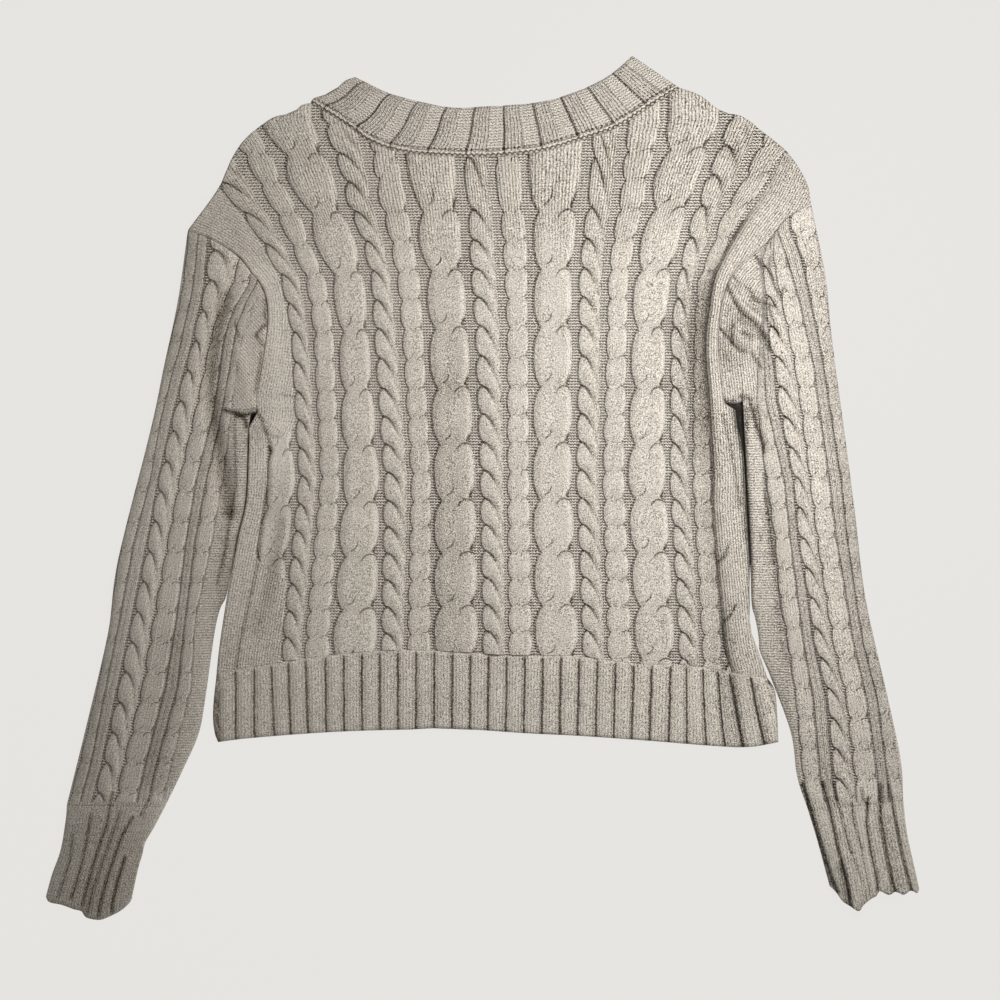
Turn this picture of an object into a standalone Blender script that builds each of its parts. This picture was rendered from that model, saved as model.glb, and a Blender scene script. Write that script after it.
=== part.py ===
# A cropped cable knit cardigan, laid flat and face down, with its neck towards +Y.
# The fronts, their bands and their hem ribs lie underneath, and the back lies on them.
# The sleeves and cuffs are flattened tubes. Tables are in millimetres, the model is in metres.
import bpy
import bmesh
import numpy as np

MM = 0.001
WALL = 3.0 * MM                    # thickness of the knitted cloth
GAP = 0.3 * MM                     # clearance at each seam and between the layers
BACK_TOP = 2 * WALL + GAP          # upper face of the back, which lies on the fronts
TUBE_HEIGHT = 8.0 * MM             # outer height of a flattened sleeve
HEM_ROLL_SHARE = 0.5               # how much of the roll is left at the foot of the hem
ARMPIT_SHARES = (0.053, 0.092)     # places along a sleeve that shape its corner at the armpit
WOOL = (0.47, 0.42, 0.35)

SIDE_ROWS = 10                     # cells from the hem rib up to the armpit
ARM_ROWS = 11                      # cells from the armpit to the shoulder tip
HEM_ROWS = 3
NECKBAND_ROWS = 2
SLEEVE_ROWS = 15
CUFF_ROWS = 4
SHOULDER_CELLS = 5
NECK_CELLS = 10
RIGHT_SHOULDER_CELLS = 4           # as far as the fold down the right side
MAIN_CELLS = SHOULDER_CELLS + NECK_CELLS + RIGHT_SHOULDER_CELLS
FRONT_CELLS = 6
BAND_CELLS = 2
CUFF_CELLS = 8
ARC_CELLS = 2                      # cells in each quarter turn at the side of a tube
CURVE_STEPS = 24


def table(columns, *rows):
    # The named columns of a table, in metres.
    values = np.array(rows, dtype=float) * MM
    return {name: values[:, k] for k, name in enumerate(columns.split())}


# Edges of the body, seen from above. The sides run upwards, the others from left to right.
SIDE_LEFT = table(
    "x y",
    (-213, -148), (-210, -122), (-204, -84), (-196, -41), (-189, -11), (-187, 28), (-188, 49))
ARM_LEFT = table(
    "x y",
    (-179, 62), (-181, 76), (-178, 89), (-172, 131), (-175, 157), (-186, 173), (-197, 186),
    (-218, 199), (-236, 206))
SIDE_RIGHT = table(
    "x y",
    (228, -152), (221, -129), (217, -107), (214, -90), (212, -49), (208, 12), (207, 61))
ARM_RIGHT = table(
    "x y",
    (193, 68), (189, 104), (189, 126), (192, 150), (201, 172), (214, 185), (229, 197),
    (242, 214), (263, 228))
SHOULDER_LEFT = table(
    "x y",
    (-236, 206), (-212, 239), (-199, 267), (-186, 283), (-168, 296), (-138, 308))
SHOULDER_RIGHT = table(
    "x y",
    (158, 320), (174, 314), (192, 301), (208, 297), (227, 283), (243, 270))
TIP_RIGHT = table(
    "x y",
    (243, 270), (252, 257), (260, 242), (263, 228))
NECK_SEAM = table(
    "x y",
    (-138, 308), (-106, 288), (-91, 277), (-63, 268), (-20, 265), (8, 265), (47, 269),
    (75, 277), (107, 288), (134, 305), (158, 320))
NECK_TOP = table(
    "x y",
    (-102, 329), (-72, 315), (-29, 305), (-2, 305), (47, 309), (82, 320), (104, 332), (120, 346))
HEM_TOP = table(
    "x y",
    (-213, -148), (-181, -143), (-120, -134), (-60, -130), (24, -134), (74, -135), (125, -141),
    (165, -142), (200, -148), (228, -152))
HEM_SIDE_LEFT = table("x y", (-213, -148), (-216, -178), (-215, -195), (-212, -204))
HEM_SIDE_RIGHT = table("x y", (228, -152), (234, -162), (236, -180), (237, -204))
HEM_FOOT = table(
    "x y",
    (-212, -204), (-188, -201), (-138, -197), (-99, -195), (-60, -194), (-26, -193), (36, -197),
    (77, -199), (134, -203), (184, -207), (212, -208), (237, -204))

# The long fold down the right side of the back: a groove, and a raised roll of cloth beyond it.
FOLD = table(
    "x y",
    (200, -148), (195, -128), (190, -84), (184, -18), (184, 12), (180, 70), (177, 112),
    (180, 144), (186, 172), (208, 211), (227, 237), (243, 270))
HEM_FOLD = table(
    "x y",
    (200, -148), (204, -166), (208, -186), (212, -208))
ROLL = table(
    "rise",
    (0.0,), (3.2,), (3.4,), (2.4,), (0.2,))
ROLL_CELLS = len(ROLL["rise"]) - 1

# Soft folds in the upper side of the sleeves, each from one end of a line to the other.
SOFT_FOLDS = table(
    "x y to_x to_y width rise",
    (-209, 145, -216, 64, 9, -1.3),
    (-216, 64, -202, -10, 9, -1.3),
    (-192, 110, -198, 0, 8, 1.2),
    (206, 166, 222, 96, 16, 2.0),
    (233, 150, 246, 60, 12, 1.0))

# The edges of each side of the garment. Those of a sleeve run from the armpit to the cuff.
SIDES = {
    "left": {
        "side": SIDE_LEFT,
        "arm": ARM_LEFT,
        "shoulder": SHOULDER_LEFT,
        "hem_side": HEM_SIDE_LEFT,
        "band_outer": table(
            "x y", (-40, -130), (-40, 0), (-40, 88), (-48, 128), (-76, 192), (-138, 308)),
        "band_inner": table(
            "x y", (-1, -131), (-1, 0), (-1, 60), (-3, 100), (-14, 146), (-42, 210), (-102, 329)),
        "inner": table(
            "x y",
            (-179, 62), (-197, 59), (-189.5, 47), (-188, 28), (-190, -11), (-197, -41), (-205, -84),
            (-214, -116), (-221, -162), (-227, -196), (-240, -226), (-254, -255)),
        "outer": table(
            "x y",
            (-236, 206), (-244, 150), (-255, 98), (-266, 46), (-292, -58), (-300, -116),
            (-316, -185), (-333, -254)),
        "cuff_inner": table("x y", (-254, -255), (-269, -283), (-278, -310), (-281, -332)),
        "cuff_outer": table("x y", (-333, -254), (-336, -278), (-345, -310), (-350, -329)),
        "cuff_foot": table(
            "x y", (-281, -332), (-292, -340), (-305, -346), (-317, -344), (-332, -336), (-350, -329)),
    },
    "right": {
        "side": SIDE_RIGHT,
        "arm": ARM_RIGHT,
        "shoulder": table(
            "x y",
            (263, 228), (260, 242), (252, 257), (243, 270), (227, 283), (208, 297), (192, 301),
            (174, 314), (158, 320)),
        "hem_side": HEM_SIDE_RIGHT,
        "band_outer": table(
            "x y", (40, -134), (40, 0), (40, 86), (50, 130), (82, 200), (158, 320)),
        "band_inner": table(
            "x y", (1, -133), (1, 0), (1, 60), (3, 100), (15, 149), (46, 218), (120, 346)),
        "inner": table(
            "x y",
            (193, 70), (204, 69), (210, 66), (209, 40), (209, 12), (213, -49), (215, -90),
            (222, -129), (231, -152), (247, -196), (252, -231), (261, -259)),
        "outer": table(
            "x y",
            (263, 228), (275, 167), (280, 118), (291, 36), (299, -26), (307, -90), (325, -170),
            (335, -218), (337, -250)),
        "cuff_inner": table("x y", (261, -259), (270, -285), (278, -320)),
        "cuff_outer": table("x y", (337, -250), (341, -271), (350, -324)),
        "cuff_foot": table(
            "x y", (278, -320), (290, -331), (302, -338), (314, -333), (330, -329), (350, -324)),
    },
}


def smooth(edge, cells, shares=None):
    # Points on a Catmull-Rom curve through an edge's rows, at even steps or at shares of its length.
    knots = np.column_stack((edge["x"], edge["y"]))
    padded = np.vstack((2 * knots[:1] - knots[1:2], knots, 2 * knots[-1:] - knots[-2:-1]))
    t = np.linspace(0, 1, CURVE_STEPS, endpoint=False)[:, None]
    runs = []
    for a, b, c, d in zip(padded, padded[1:], padded[2:], padded[3:]):
        cubic = (3 * b - a - 3 * c + d) * t ** 3
        runs.append((2 * b + (c - a) * t + (2 * a - 5 * b + 4 * c - d) * t ** 2 + cubic) / 2)
    line = np.vstack(runs + [knots[-1:]])
    steps = np.hypot(*np.diff(line, axis=0).T)
    length = np.concatenate(([0], np.cumsum(steps)))
    if shares is None:
        shares = np.linspace(0, 1, cells + 1)
    at = shares * length[-1]
    return np.column_stack((np.interp(at, length, line[:, 0]), np.interp(at, length, line[:, 1])))


def level(edge, xs):
    # The points of an edge at these x.
    curve = smooth(edge, 8 * CURVE_STEPS)
    return np.column_stack((xs, np.interp(xs, curve[:, 0], curve[:, 1])))


def straight(start, end, cells):
    return np.linspace(start, end, cells + 1)


def join(*lines):
    # One line from several that follow on, without the points that they share.
    return np.vstack([lines[0]] + [line[1:] for line in lines[1:]])


def aside(line, distance):
    # The same line moved towards its right-hand side, as it is travelled.
    along = np.gradient(line, axis=0)
    along /= np.hypot(along[:, 0], along[:, 1])[:, None]
    return line + distance * np.column_stack((along[:, 1], -along[:, 0]))


def between(left, right, bottom, top):
    # Coons surface between four edges: rows run from bottom to top, columns from left to right.
    left = left.copy()
    right = right.copy()
    left[0], left[-1] = bottom[0], top[0]
    right[0], right[-1] = bottom[-1], top[-1]
    u = np.linspace(0, 1, len(bottom))[None, :, None]
    v = np.linspace(0, 1, len(left))[:, None, None]
    ruled = (1 - v) * bottom + v * top + (1 - u) * left[:, None] + u * right[:, None]
    lower = (1 - u) * bottom[0] + u * bottom[-1]
    upper = (1 - u) * top[0] + u * top[-1]
    return ruled - (1 - v) * lower - v * upper


def fold_rise(x, y):
    # Height that the large soft folds add: each is a smooth ridge or trough along a short line.
    total = np.zeros_like(x)
    for start_x, start_y, end_x, end_y, width, rise in zip(*SOFT_FOLDS.values()):
        run_x = end_x - start_x
        run_y = end_y - start_y
        share = ((x - start_x) * run_x + (y - start_y) * run_y) / (run_x ** 2 + run_y ** 2)
        share = np.clip(share, 0, 1)
        distance = np.hypot(x - start_x - share * run_x, y - start_y - share * run_y)
        total += rise * np.exp(-(distance / width) ** 2)
    return total


def wool():
    material = bpy.data.materials.get("wool") or bpy.data.materials.new("wool")
    material.use_nodes = True
    shader = material.node_tree.nodes["Principled BSDF"]
    shader.inputs["Base Color"].default_value = (*WOOL, 1)
    shader.inputs["Roughness"].default_value = 0.95
    shader.inputs["Metallic"].default_value = 0.0
    return material


def add_object(name, body):
    # Turns the faces outwards and makes a smooth object of them, with sharp rims.
    bmesh.ops.recalc_face_normals(body, faces=body.faces)
    mesh = bpy.data.meshes.new(name)
    body.to_mesh(mesh)
    body.free()
    mesh.shade_smooth()
    mesh.set_sharp_from_angle(angle=np.radians(50))
    mesh.materials.append(wool())
    placed = bpy.data.objects.new(name, mesh)
    bpy.context.scene.collection.objects.link(placed)


def faces_of(vertices, faces):
    mesh = bpy.data.meshes.new("draft")
    mesh.from_pydata(vertices.tolist(), [], faces.tolist())
    body = bmesh.new()
    body.from_mesh(mesh)
    bpy.data.meshes.remove(mesh)
    return body


def add_panel(name, grid, top):
    # A flat piece of cloth: a grid of points at the height top, extruded down by the wall.
    rows, columns = grid.shape[:2]
    heights = np.broadcast_to(top, (rows, columns))[..., None]
    vertices = np.concatenate((grid, heights), axis=2).reshape(-1, 3)
    corner = np.arange(rows * columns).reshape(rows, columns)
    quads = (corner[:-1, :-1], corner[:-1, 1:], corner[1:, 1:], corner[1:, :-1])
    body = faces_of(vertices, np.stack(quads, axis=-1).reshape(-1, 4))
    lower = bmesh.ops.extrude_face_region(body, geom=body.faces[:], use_keep_orig=True)["geom"]
    moved = [part for part in lower if isinstance(part, bmesh.types.BMVert)]
    bmesh.ops.translate(body, verts=moved, vec=(0, 0, -WALL))
    add_object(name, body)


def tube_ring(inset, columns):
    # Stations round a flattened tube: the column that each is near, its distance from that
    # column, and its height. The inset moves the ring into the wall.
    radius = TUBE_HEIGHT / 2 - inset
    turns = np.linspace(0, np.pi / 2, ARC_CELLS + 1)
    depth = inset + radius * (1 - np.cos(turns))
    rise = radius * np.sin(turns)
    flat = np.arange(1, columns - 1)
    side = np.full(ARC_CELLS + 1, columns - 1)
    column = np.concatenate((np.zeros(ARC_CELLS + 1), flat, side))
    offset = np.concatenate((depth, np.zeros(len(flat)), -depth[::-1]))
    height = np.concatenate((rise, np.full(len(flat), radius), rise[::-1]))
    under = slice(-2, 0, -1)
    return (
        np.concatenate((column, column[under])),
        np.concatenate((offset, offset[under])),
        np.concatenate((height, -height[under])))


def add_tube(name, grid):
    # A flattened tube of cloth over a grid of points. Its first and last rows are open ends.
    rows, columns = grid.shape[:2]
    row = np.arange(rows)[:, None]
    width = np.hypot(*(grid[:, -1] - grid[:, 0]).T)[:, None]
    rings = []
    for inset in (0, WALL):
        column, offset, height = tube_ring(inset, columns)
        place = column + (columns - 1) * offset / width
        first = np.clip(np.floor(place).astype(int), 0, columns - 2)
        share = (place - first)[..., None]
        plan = (1 - share) * grid[row, first] + share * grid[row, first + 1]
        raised = np.clip(height / (TUBE_HEIGHT / 2 - inset), 0, 1)
        lift = TUBE_HEIGHT / 2 + height + raised * fold_rise(plan[..., 0], plan[..., 1])
        rings.append(np.concatenate((plan, lift[..., None]), axis=2))
    around = rings[0].shape[1]
    corner = np.arange(rows * around).reshape(rows, around)
    onward = np.roll(corner, -1, axis=1)
    wall = np.stack((corner[:-1], onward[:-1], onward[1:], corner[1:]), axis=-1).reshape(-1, 4)
    inside = rows * around
    rims = [np.stack((corner[end], onward[end], onward[end] + inside, corner[end] + inside), axis=-1)
            for end in (0, -1)]
    vertices = np.vstack([ring.reshape(-1, 3) for ring in rings])
    add_object(name, faces_of(vertices, np.vstack([wall, wall + inside] + rims)))


def split_at_fold(edge, fold_x):
    # An edge below the back, with one point for each of its columns: up to the fold, then beyond.
    main = np.linspace(edge["x"][0], fold_x, MAIN_CELLS + 1)
    roll = np.linspace(fold_x, edge["x"][-1], ROLL_CELLS + 1)
    return level(edge, main), level(edge, roll)


def add_back():
    # The back and its hem rib: flat as far as the fold, then the roll along the right side.
    left = np.vstack((smooth(SIDE_LEFT, SIDE_ROWS), smooth(ARM_LEFT, ARM_ROWS)))
    right = np.vstack((smooth(SIDE_RIGHT, SIDE_ROWS), smooth(ARM_RIGHT, ARM_ROWS)))
    fold = smooth(FOLD, len(left) - 1)
    shoulders = join(
        smooth(SHOULDER_LEFT, SHOULDER_CELLS),
        smooth(NECK_SEAM, NECK_CELLS),
        smooth(SHOULDER_RIGHT, RIGHT_SHOULDER_CELLS))
    tip = smooth(TIP_RIGHT, ROLL_CELLS)
    main_foot, roll_foot = split_at_fold(HEM_TOP, FOLD["x"][0])
    main = between(left, fold, main_foot, shoulders)
    roll = between(fold, right, roll_foot, tip)
    rise = np.concatenate((np.zeros(MAIN_CELLS), ROLL["rise"]))
    add_panel("back", np.hstack((main, roll[:, 1:])), BACK_TOP + rise)

    main_end, roll_end = split_at_fold(HEM_FOOT, HEM_FOLD["x"][-1])
    seam = np.array((0, -GAP))
    left = smooth(HEM_SIDE_LEFT, HEM_ROWS)[::-1]
    fold = smooth(HEM_FOLD, HEM_ROWS)[::-1]
    right = smooth(HEM_SIDE_RIGHT, HEM_ROWS)[::-1]
    main = between(left, fold, main_end, main_foot + seam)
    roll = between(fold, right, roll_end, roll_foot + seam)
    fade = np.linspace(HEM_ROLL_SHARE, 1, HEM_ROWS + 1)[:, None]
    add_panel("hem_back", np.hstack((main, roll[:, 1:])), BACK_TOP + fade * rise)


def add_neckband():
    seam = smooth(NECK_SEAM, NECK_CELLS)
    top = smooth(NECK_TOP, NECK_CELLS)
    left = straight(seam[0], top[0], NECKBAND_ROWS)
    right = straight(seam[-1], top[-1], NECKBAND_ROWS)
    add_panel("neckband", between(left, right, aside(seam, -GAP), top), BACK_TOP)


def add_front(side, edges, sign):
    # One front with its hem rib and its band. The sign is -1 on the left and 1 on the right.
    outer = smooth(edges["band_outer"], SIDE_ROWS + 1 + ARM_ROWS)
    inner = smooth(edges["band_inner"], SIDE_ROWS + 1 + ARM_ROWS)
    body = np.vstack((smooth(edges["side"], SIDE_ROWS), smooth(edges["arm"], ARM_ROWS)))
    across = np.linspace(edges["side"]["x"][0], outer[0, 0], FRONT_CELLS + 1)
    foot = level(HEM_TOP, across)
    shoulder = smooth(edges["shoulder"], FRONT_CELLS)
    front = between(body, outer, foot, shoulder)
    add_panel("front_" + side, front, WALL)

    across = np.linspace(edges["hem_side"]["x"][-1], outer[0, 0], FRONT_CELLS + 1)
    end = level(HEM_FOOT, across)
    seam = np.array((0, -GAP))
    hem_side = smooth(edges["hem_side"], HEM_ROWS)[::-1]
    hem_inner = straight(end[-1], foot[-1], HEM_ROWS)
    add_panel("hem_front_" + side, between(hem_side, hem_inner, end, foot + seam), WALL)

    outer_line = join(hem_inner, front[:, -1])
    centre_foot = level(HEM_FOOT, inner[:1, 0])
    centre_seam = level(HEM_TOP, inner[:1, 0])
    inner_line = join(straight(centre_foot[0], centre_seam[0], HEM_ROWS), inner)
    outer_line = aside(outer_line, -sign * GAP)
    bottom = straight(outer_line[0], inner_line[0], BAND_CELLS)
    top = straight(outer_line[-1], inner_line[-1], BAND_CELLS)
    add_panel("band_" + side, between(outer_line, inner_line, bottom, top), WALL)


def add_sleeve(side, edges, sign):
    # A sleeve from its armhole seam to its cuff, and the cuff.
    rest = np.linspace(ARMPIT_SHARES[-1], 1, SLEEVE_ROWS - len(ARMPIT_SHARES) + 1)[1:]
    shares = np.concatenate(((0,), ARMPIT_SHARES, rest))
    head = aside(smooth(edges["arm"], ARM_ROWS), sign * GAP)
    inner = smooth(edges["inner"], SLEEVE_ROWS, shares)
    outer = smooth(edges["outer"], SLEEVE_ROWS, shares)
    wrist = straight(inner[-1], outer[-1], ARM_ROWS)
    add_tube("sleeve_" + side, between(inner, outer, head, wrist))

    wrist = straight(inner[-1], outer[-1], CUFF_CELLS)
    foot = smooth(edges["cuff_foot"], CUFF_CELLS)
    inner = smooth(edges["cuff_inner"], CUFF_ROWS)
    outer = smooth(edges["cuff_outer"], CUFF_ROWS)
    add_tube("cuff_" + side, between(inner, outer, aside(wrist, sign * GAP), foot))


def build():
    for old in list(bpy.data.objects):
        bpy.data.objects.remove(old, do_unlink=True)
    add_back()
    add_neckband()
    for side, sign in (("left", -1), ("right", 1)):
        add_front(side, SIDES[side], sign)
        add_sleeve(side, SIDES[side], sign)


build()
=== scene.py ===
# A cropped cable knit cardigan in pale wool, laid flat and face down, with its neck towards +Y.
# The back shows its cables, and the fronts lie under it. All sizes in the tables are in millimetres.
from functools import reduce
import bpy
import numpy as np
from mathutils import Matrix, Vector


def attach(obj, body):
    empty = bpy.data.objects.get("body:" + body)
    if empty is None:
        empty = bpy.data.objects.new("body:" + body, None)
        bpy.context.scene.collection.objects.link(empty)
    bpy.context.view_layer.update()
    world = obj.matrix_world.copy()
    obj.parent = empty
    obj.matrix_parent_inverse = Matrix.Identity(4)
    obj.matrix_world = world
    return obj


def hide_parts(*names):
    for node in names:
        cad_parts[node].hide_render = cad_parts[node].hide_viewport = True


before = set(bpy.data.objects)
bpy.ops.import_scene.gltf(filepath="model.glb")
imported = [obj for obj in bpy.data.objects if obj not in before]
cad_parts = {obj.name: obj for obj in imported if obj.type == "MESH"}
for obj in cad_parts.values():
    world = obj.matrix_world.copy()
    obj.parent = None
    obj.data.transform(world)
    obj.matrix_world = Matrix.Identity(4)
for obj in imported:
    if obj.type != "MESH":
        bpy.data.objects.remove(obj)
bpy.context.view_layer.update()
mm = 0.001


def table(columns, *rows):
    # The named columns of a table.
    values = np.array(rows, dtype=float)
    return {name: values[:, k] for k, name in enumerate(columns.split())}


def outline(*points):
    # The points along an edge, from one end to the other.
    return table("x y", *points)


def joined(first, second, skip=1):
    # Two edges in a row, without the first points of the second.
    return {name: np.concatenate((first[name], second[name][skip:])) for name in first}


def turned(edge):
    # The same edge travelled the other way.
    return {name: values[::-1] for name, values in edge.items()}


# Layers of the garment, as in the solids of the frame.
layers = {
    "wall": 3.0,             # thickness of the knitted cloth
    "gap": 0.16,             # clearance at each seam
    "backTop": 6.3,          # upper face of the back, between its cables
}

# Edges of the body, seen from above. The sides run upwards, the others from left to right.
sideLeft = outline(
    (-213, -148), (-210, -122), (-204, -84), (-196, -41), (-189.3, -11), (-187.4, 28), (-187.6, 47.5))
armLeft = outline(
    (-180.5, 59.5), (-181, 76), (-178, 89), (-172, 131), (-175, 157), (-186, 173), (-197, 186),
    (-218, 199), (-236, 206))
sideRight = outline(
    (228, -152), (220.5, -130), (217.5, -122), (214.8, -113), (213.8, -100), (214.2, -90), (213, -49),
    (210, 12), (208.5, 30), (206.5, 40), (204, 50), (202.5, 62))
armRight = outline(
    (193, 68), (189, 104), (189, 126), (192, 150), (201, 172), (214, 185), (229, 197), (242, 214),
    (263, 228))
shoulderLeft = outline(
    (-236, 206), (-212, 239), (-199, 267), (-186, 283), (-168, 296), (-152, 300), (-145, 306),
    (-138, 308))
shoulderRight = outline((158, 320), (174, 314), (192, 301), (208, 297), (227, 283), (243, 270))
tipRight = outline((243, 270), (252, 257), (260, 242), (263, 228))
neckSeam = outline(
    (-138, 308), (-106, 288), (-91, 277), (-63, 268), (-20, 265), (8, 265), (47, 269), (75, 277),
    (107, 288), (134, 305), (158, 320))
neckTop = outline(
    (-102, 329), (-72, 315), (-29, 305), (-2, 305), (47, 309), (82, 320), (104, 332), (120, 346))
neckLeft = outline((-138, 308), (-135, 312), (-127, 314), (-118, 319), (-110, 326), (-102, 329))
hemTop = outline(
    (-213, -148), (-181, -143), (-120, -134), (-60, -130), (24, -134), (74, -135), (125, -141),
    (165, -142), (200, -148), (228, -152))
hemSideLeft = outline((-213, -148), (-216, -178), (-215, -195), (-212, -204))
hemSideRight = outline((228, -152), (234, -162), (236, -180), (237, -204))
hemFoot = outline(
    (-212, -204), (-188, -201), (-138, -197), (-99, -195), (-60, -194), (-26, -193), (36, -197),
    (77, -199), (134, -203), (184, -207), (212, -208), (237, -204))

# The long fold down the right side of the back: a groove, and a raised roll of cloth beyond it.
backFold = outline(
    (200, -148), (195, -128), (190, -84), (184, -18), (184, 12), (180, 70), (177, 112), (180, 144),
    (186, 172), (208, 211), (227, 237), (243, 270))
hemFold = outline((200, -148), (204, -166), (208, -186), (212, -208))
rollRise = (0.0, 3.2, 3.4, 2.4, 0.2)      # at even steps from the fold to the side

# The edges of each side of the garment. Those of a front run upwards, and those of a sleeve run
# from the armpit to the cuff. "under" is the edge of a front below its arm.
sides = {
    "left": {
        "side": sideLeft,
        "arm": armLeft,
        "shoulder": shoulderLeft,
        "under": joined(outline(
            (-213, -148), (-209.5, -122), (-204, -84), (-198, -41), (-191, -11), (-189.5, 28), (-190, 48),
            (-188, 58.5), (-182, 61)), armLeft),
        "hemSide": hemSideLeft,
        "bandOuter": outline((-40, -130), (-40, 0), (-40, 88), (-48, 128), (-76, 192), (-138, 308)),
        "bandInner": outline(
            (-1, -131), (-1, 0), (-1, 60), (-3, 100), (-14, 146), (-42, 210), (-102, 329)),
        "inner": outline(
            (-180.5, 59.5), (-186, 58), (-188.4, 47), (-188, 28), (-190, -11), (-197, -41), (-204.4, -84),
            (-210, -97), (-214.5, -116), (-221, -162), (-227, -196), (-240, -226), (-254, -255)),
        "outer": outline(
            (-236, 206), (-244, 150), (-255, 98), (-266, 46), (-292, -58), (-300, -116), (-316, -185),
            (-333, -254)),
        "cuffInner": outline(
            (-254, -255), (-263, -272), (-270, -284), (-272.5, -294), (-276, -306), (-281, -329)),
        "cuffOuter": outline((-333, -254), (-334, -266), (-338, -290), (-345, -310), (-350, -328)),
        "cuffFoot": outline(
            (-281, -329), (-283, -333), (-290, -339), (-300, -344), (-307, -346), (-316, -344.5),
            (-319, -342), (-321, -339), (-327, -337.5), (-337, -334), (-347, -332), (-350, -328)),
    },
    "right": {
        "side": sideRight,
        "arm": armRight,
        "shoulder": turned(joined(shoulderRight, tipRight)),
        "under": joined(outline(
            (228, -152), (220, -130), (216.5, -122), (213.5, -113), (212.5, -100), (213.5, -90),
            (215.5, -49), (213, 12), (213, 45), (213, 60), (211, 69), (203, 71), (194, 71)), armRight),
        "hemSide": hemSideRight,
        "bandOuter": outline((40, -134), (40, 0), (40, 86), (50, 130), (82, 200), (158, 320)),
        "bandInner": outline((1, -133), (1, 0), (1, 60), (3, 100), (15, 149), (46, 218), (120, 346)),
        "inner": outline(
            (193, 70), (203, 69), (208, 70.5), (211, 67.5), (211.5, 58), (211, 40), (211.2, 12),
            (214.5, -49), (215.4, -90), (218.2, -103), (220.4, -114), (221.4, -122), (222.3, -131),
            (231, -152), (247, -196), (252, -231), (261, -259)),
        "outer": outline(
            (263, 228), (275, 167), (280, 118), (291, 36), (299, -26), (307, -90), (325, -170),
            (335, -218), (337, -250)),
        "cuffInner": outline((261, -259), (268, -282), (275, -308), (278, -319)),
        "cuffOuter": outline((337, -250), (340, -276), (346, -304), (350, -322)),
        "cuffFoot": outline(
            (278, -319), (284, -325), (288, -331), (294, -335), (301, -339), (305, -334), (311, -329),
            (315, -327), (318, -323), (325, -326), (331, -323.5), (337, -326), (343, -322.5), (348, -325),
            (350, -322)),
    },
}


# A number that flows through shader nodes. The formulas below take either arrays, to shape a mesh,
# or wires, to draw the same pattern in a material at its full sharpness.
class Wire:
    def __init__(self, tree, socket):
        self.tree = tree
        self.socket = socket

    def __add__(self, other):
        return mathNode("ADD", self, other)

    def __sub__(self, other):
        return mathNode("SUBTRACT", self, other)

    def __rsub__(self, other):
        return mathNode("SUBTRACT", other, self)

    def __mul__(self, other):
        return mathNode("MULTIPLY", self, other)

    def __truediv__(self, other):
        return mathNode("DIVIDE", self, other)

    def __neg__(self):
        return mathNode("MULTIPLY", self, -1.0)

    __radd__ = __add__
    __rmul__ = __mul__


def feed(tree, value, socket):
    # A wire is linked to the socket, a number or a colour is set on it.
    if isinstance(value, Wire):
        tree.links.new(value.socket, socket)
    else:
        socket.default_value = value


def addNode(tree, kind, inputs, output=0, **settings):
    # A shader node with its settings, then its inputs. Its output comes back as a wire.
    node = tree.nodes.new("ShaderNode" + kind)
    for name, value in settings.items():
        setattr(node, name, value)
    for name, value in inputs.items():
        feed(tree, value, node.inputs[name])
    return Wire(tree, node.outputs[output])


def onWires(*values):
    return any(isinstance(value, Wire) for value in values)


def treeOf(values):
    return next(value.tree for value in values if isinstance(value, Wire))


def mathNode(operation, *values):
    return addNode(treeOf(values), "Math", dict(enumerate(values)), operation=operation)


def either(operation, onArrays):
    # One function for both kinds of numbers: a node for wires, numpy for arrays.
    def call(*values):
        return mathNode(operation, *values) if onWires(*values) else onArrays(*values)
    return call


least = either("MINIMUM", np.minimum)
larger = either("MAXIMUM", np.maximum)
distance = either("ABSOLUTE", np.abs)
fraction = either("FRACT", lambda a: a - np.floor(a))
power = either("POWER", np.power)
sine = either("SINE", np.sin)
fullTurn = 6.2832


def most(*values):
    return reduce(larger, values)


def wave(turns):
    # Sine of a number of turns.
    return sine(turns * fullTurn)


def ease(a, start, end):
    # Smooth step: 0 before the start, 1 after the end. It falls where the start is the larger.
    if onWires(a):
        inputs = {"Value": a, "From Min": start, "From Max": end}
        return addNode(a.tree, "MapRange", inputs, interpolation_type="SMOOTHSTEP")
    share = np.clip((a - start) / (end - start), 0, 1)
    return share * share * (3 - 2 * share)


def grouped(name, inputs, outputs):
    # Lets a formula be called with wires as well: each call is then a node of one shared group.
    def wrap(formula):
        def call(*values):
            if not onWires(*values):
                return formula(*values)
            tree = treeOf(values)
            node = tree.nodes.new("ShaderNodeGroup")
            node.node_tree = bpy.data.node_groups.get(name) or drawGroup(name, inputs, outputs, formula)
            for label, value in zip(inputs.split(), values):
                feed(tree, value, node.inputs[label])
            found = [Wire(tree, node.outputs[label]) for label in outputs.split()]
            return found if len(found) > 1 else found[0]
        return call
    return wrap


def drawGroup(name, inputs, outputs, formula):
    # A new node group with the formula's nodes between its inputs and outputs.
    group = bpy.data.node_groups.new(name, "ShaderNodeTree")
    for labels, way in ((inputs, "INPUT"), (outputs, "OUTPUT")):
        for label in labels.split():
            group.interface.new_socket(label, in_out=way, socket_type="NodeSocketFloat")
    start = group.nodes.new("NodeGroupInput")
    end = group.nodes.new("NodeGroupOutput")
    results = formula(*[Wire(group, start.outputs[label]) for label in inputs.split()])
    results = results if isinstance(results, (list, tuple)) else [results]
    for label, result in zip(outputs.split(), results):
        feed(group, result, end.inputs[label])
    return group


# The stitch patterns. "across" runs from 0 to 1 over a cable, and "along" counts its crossings
# downwards.
roundness = 2.6      # power of the domes and scallops: the higher, the flatter

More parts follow.
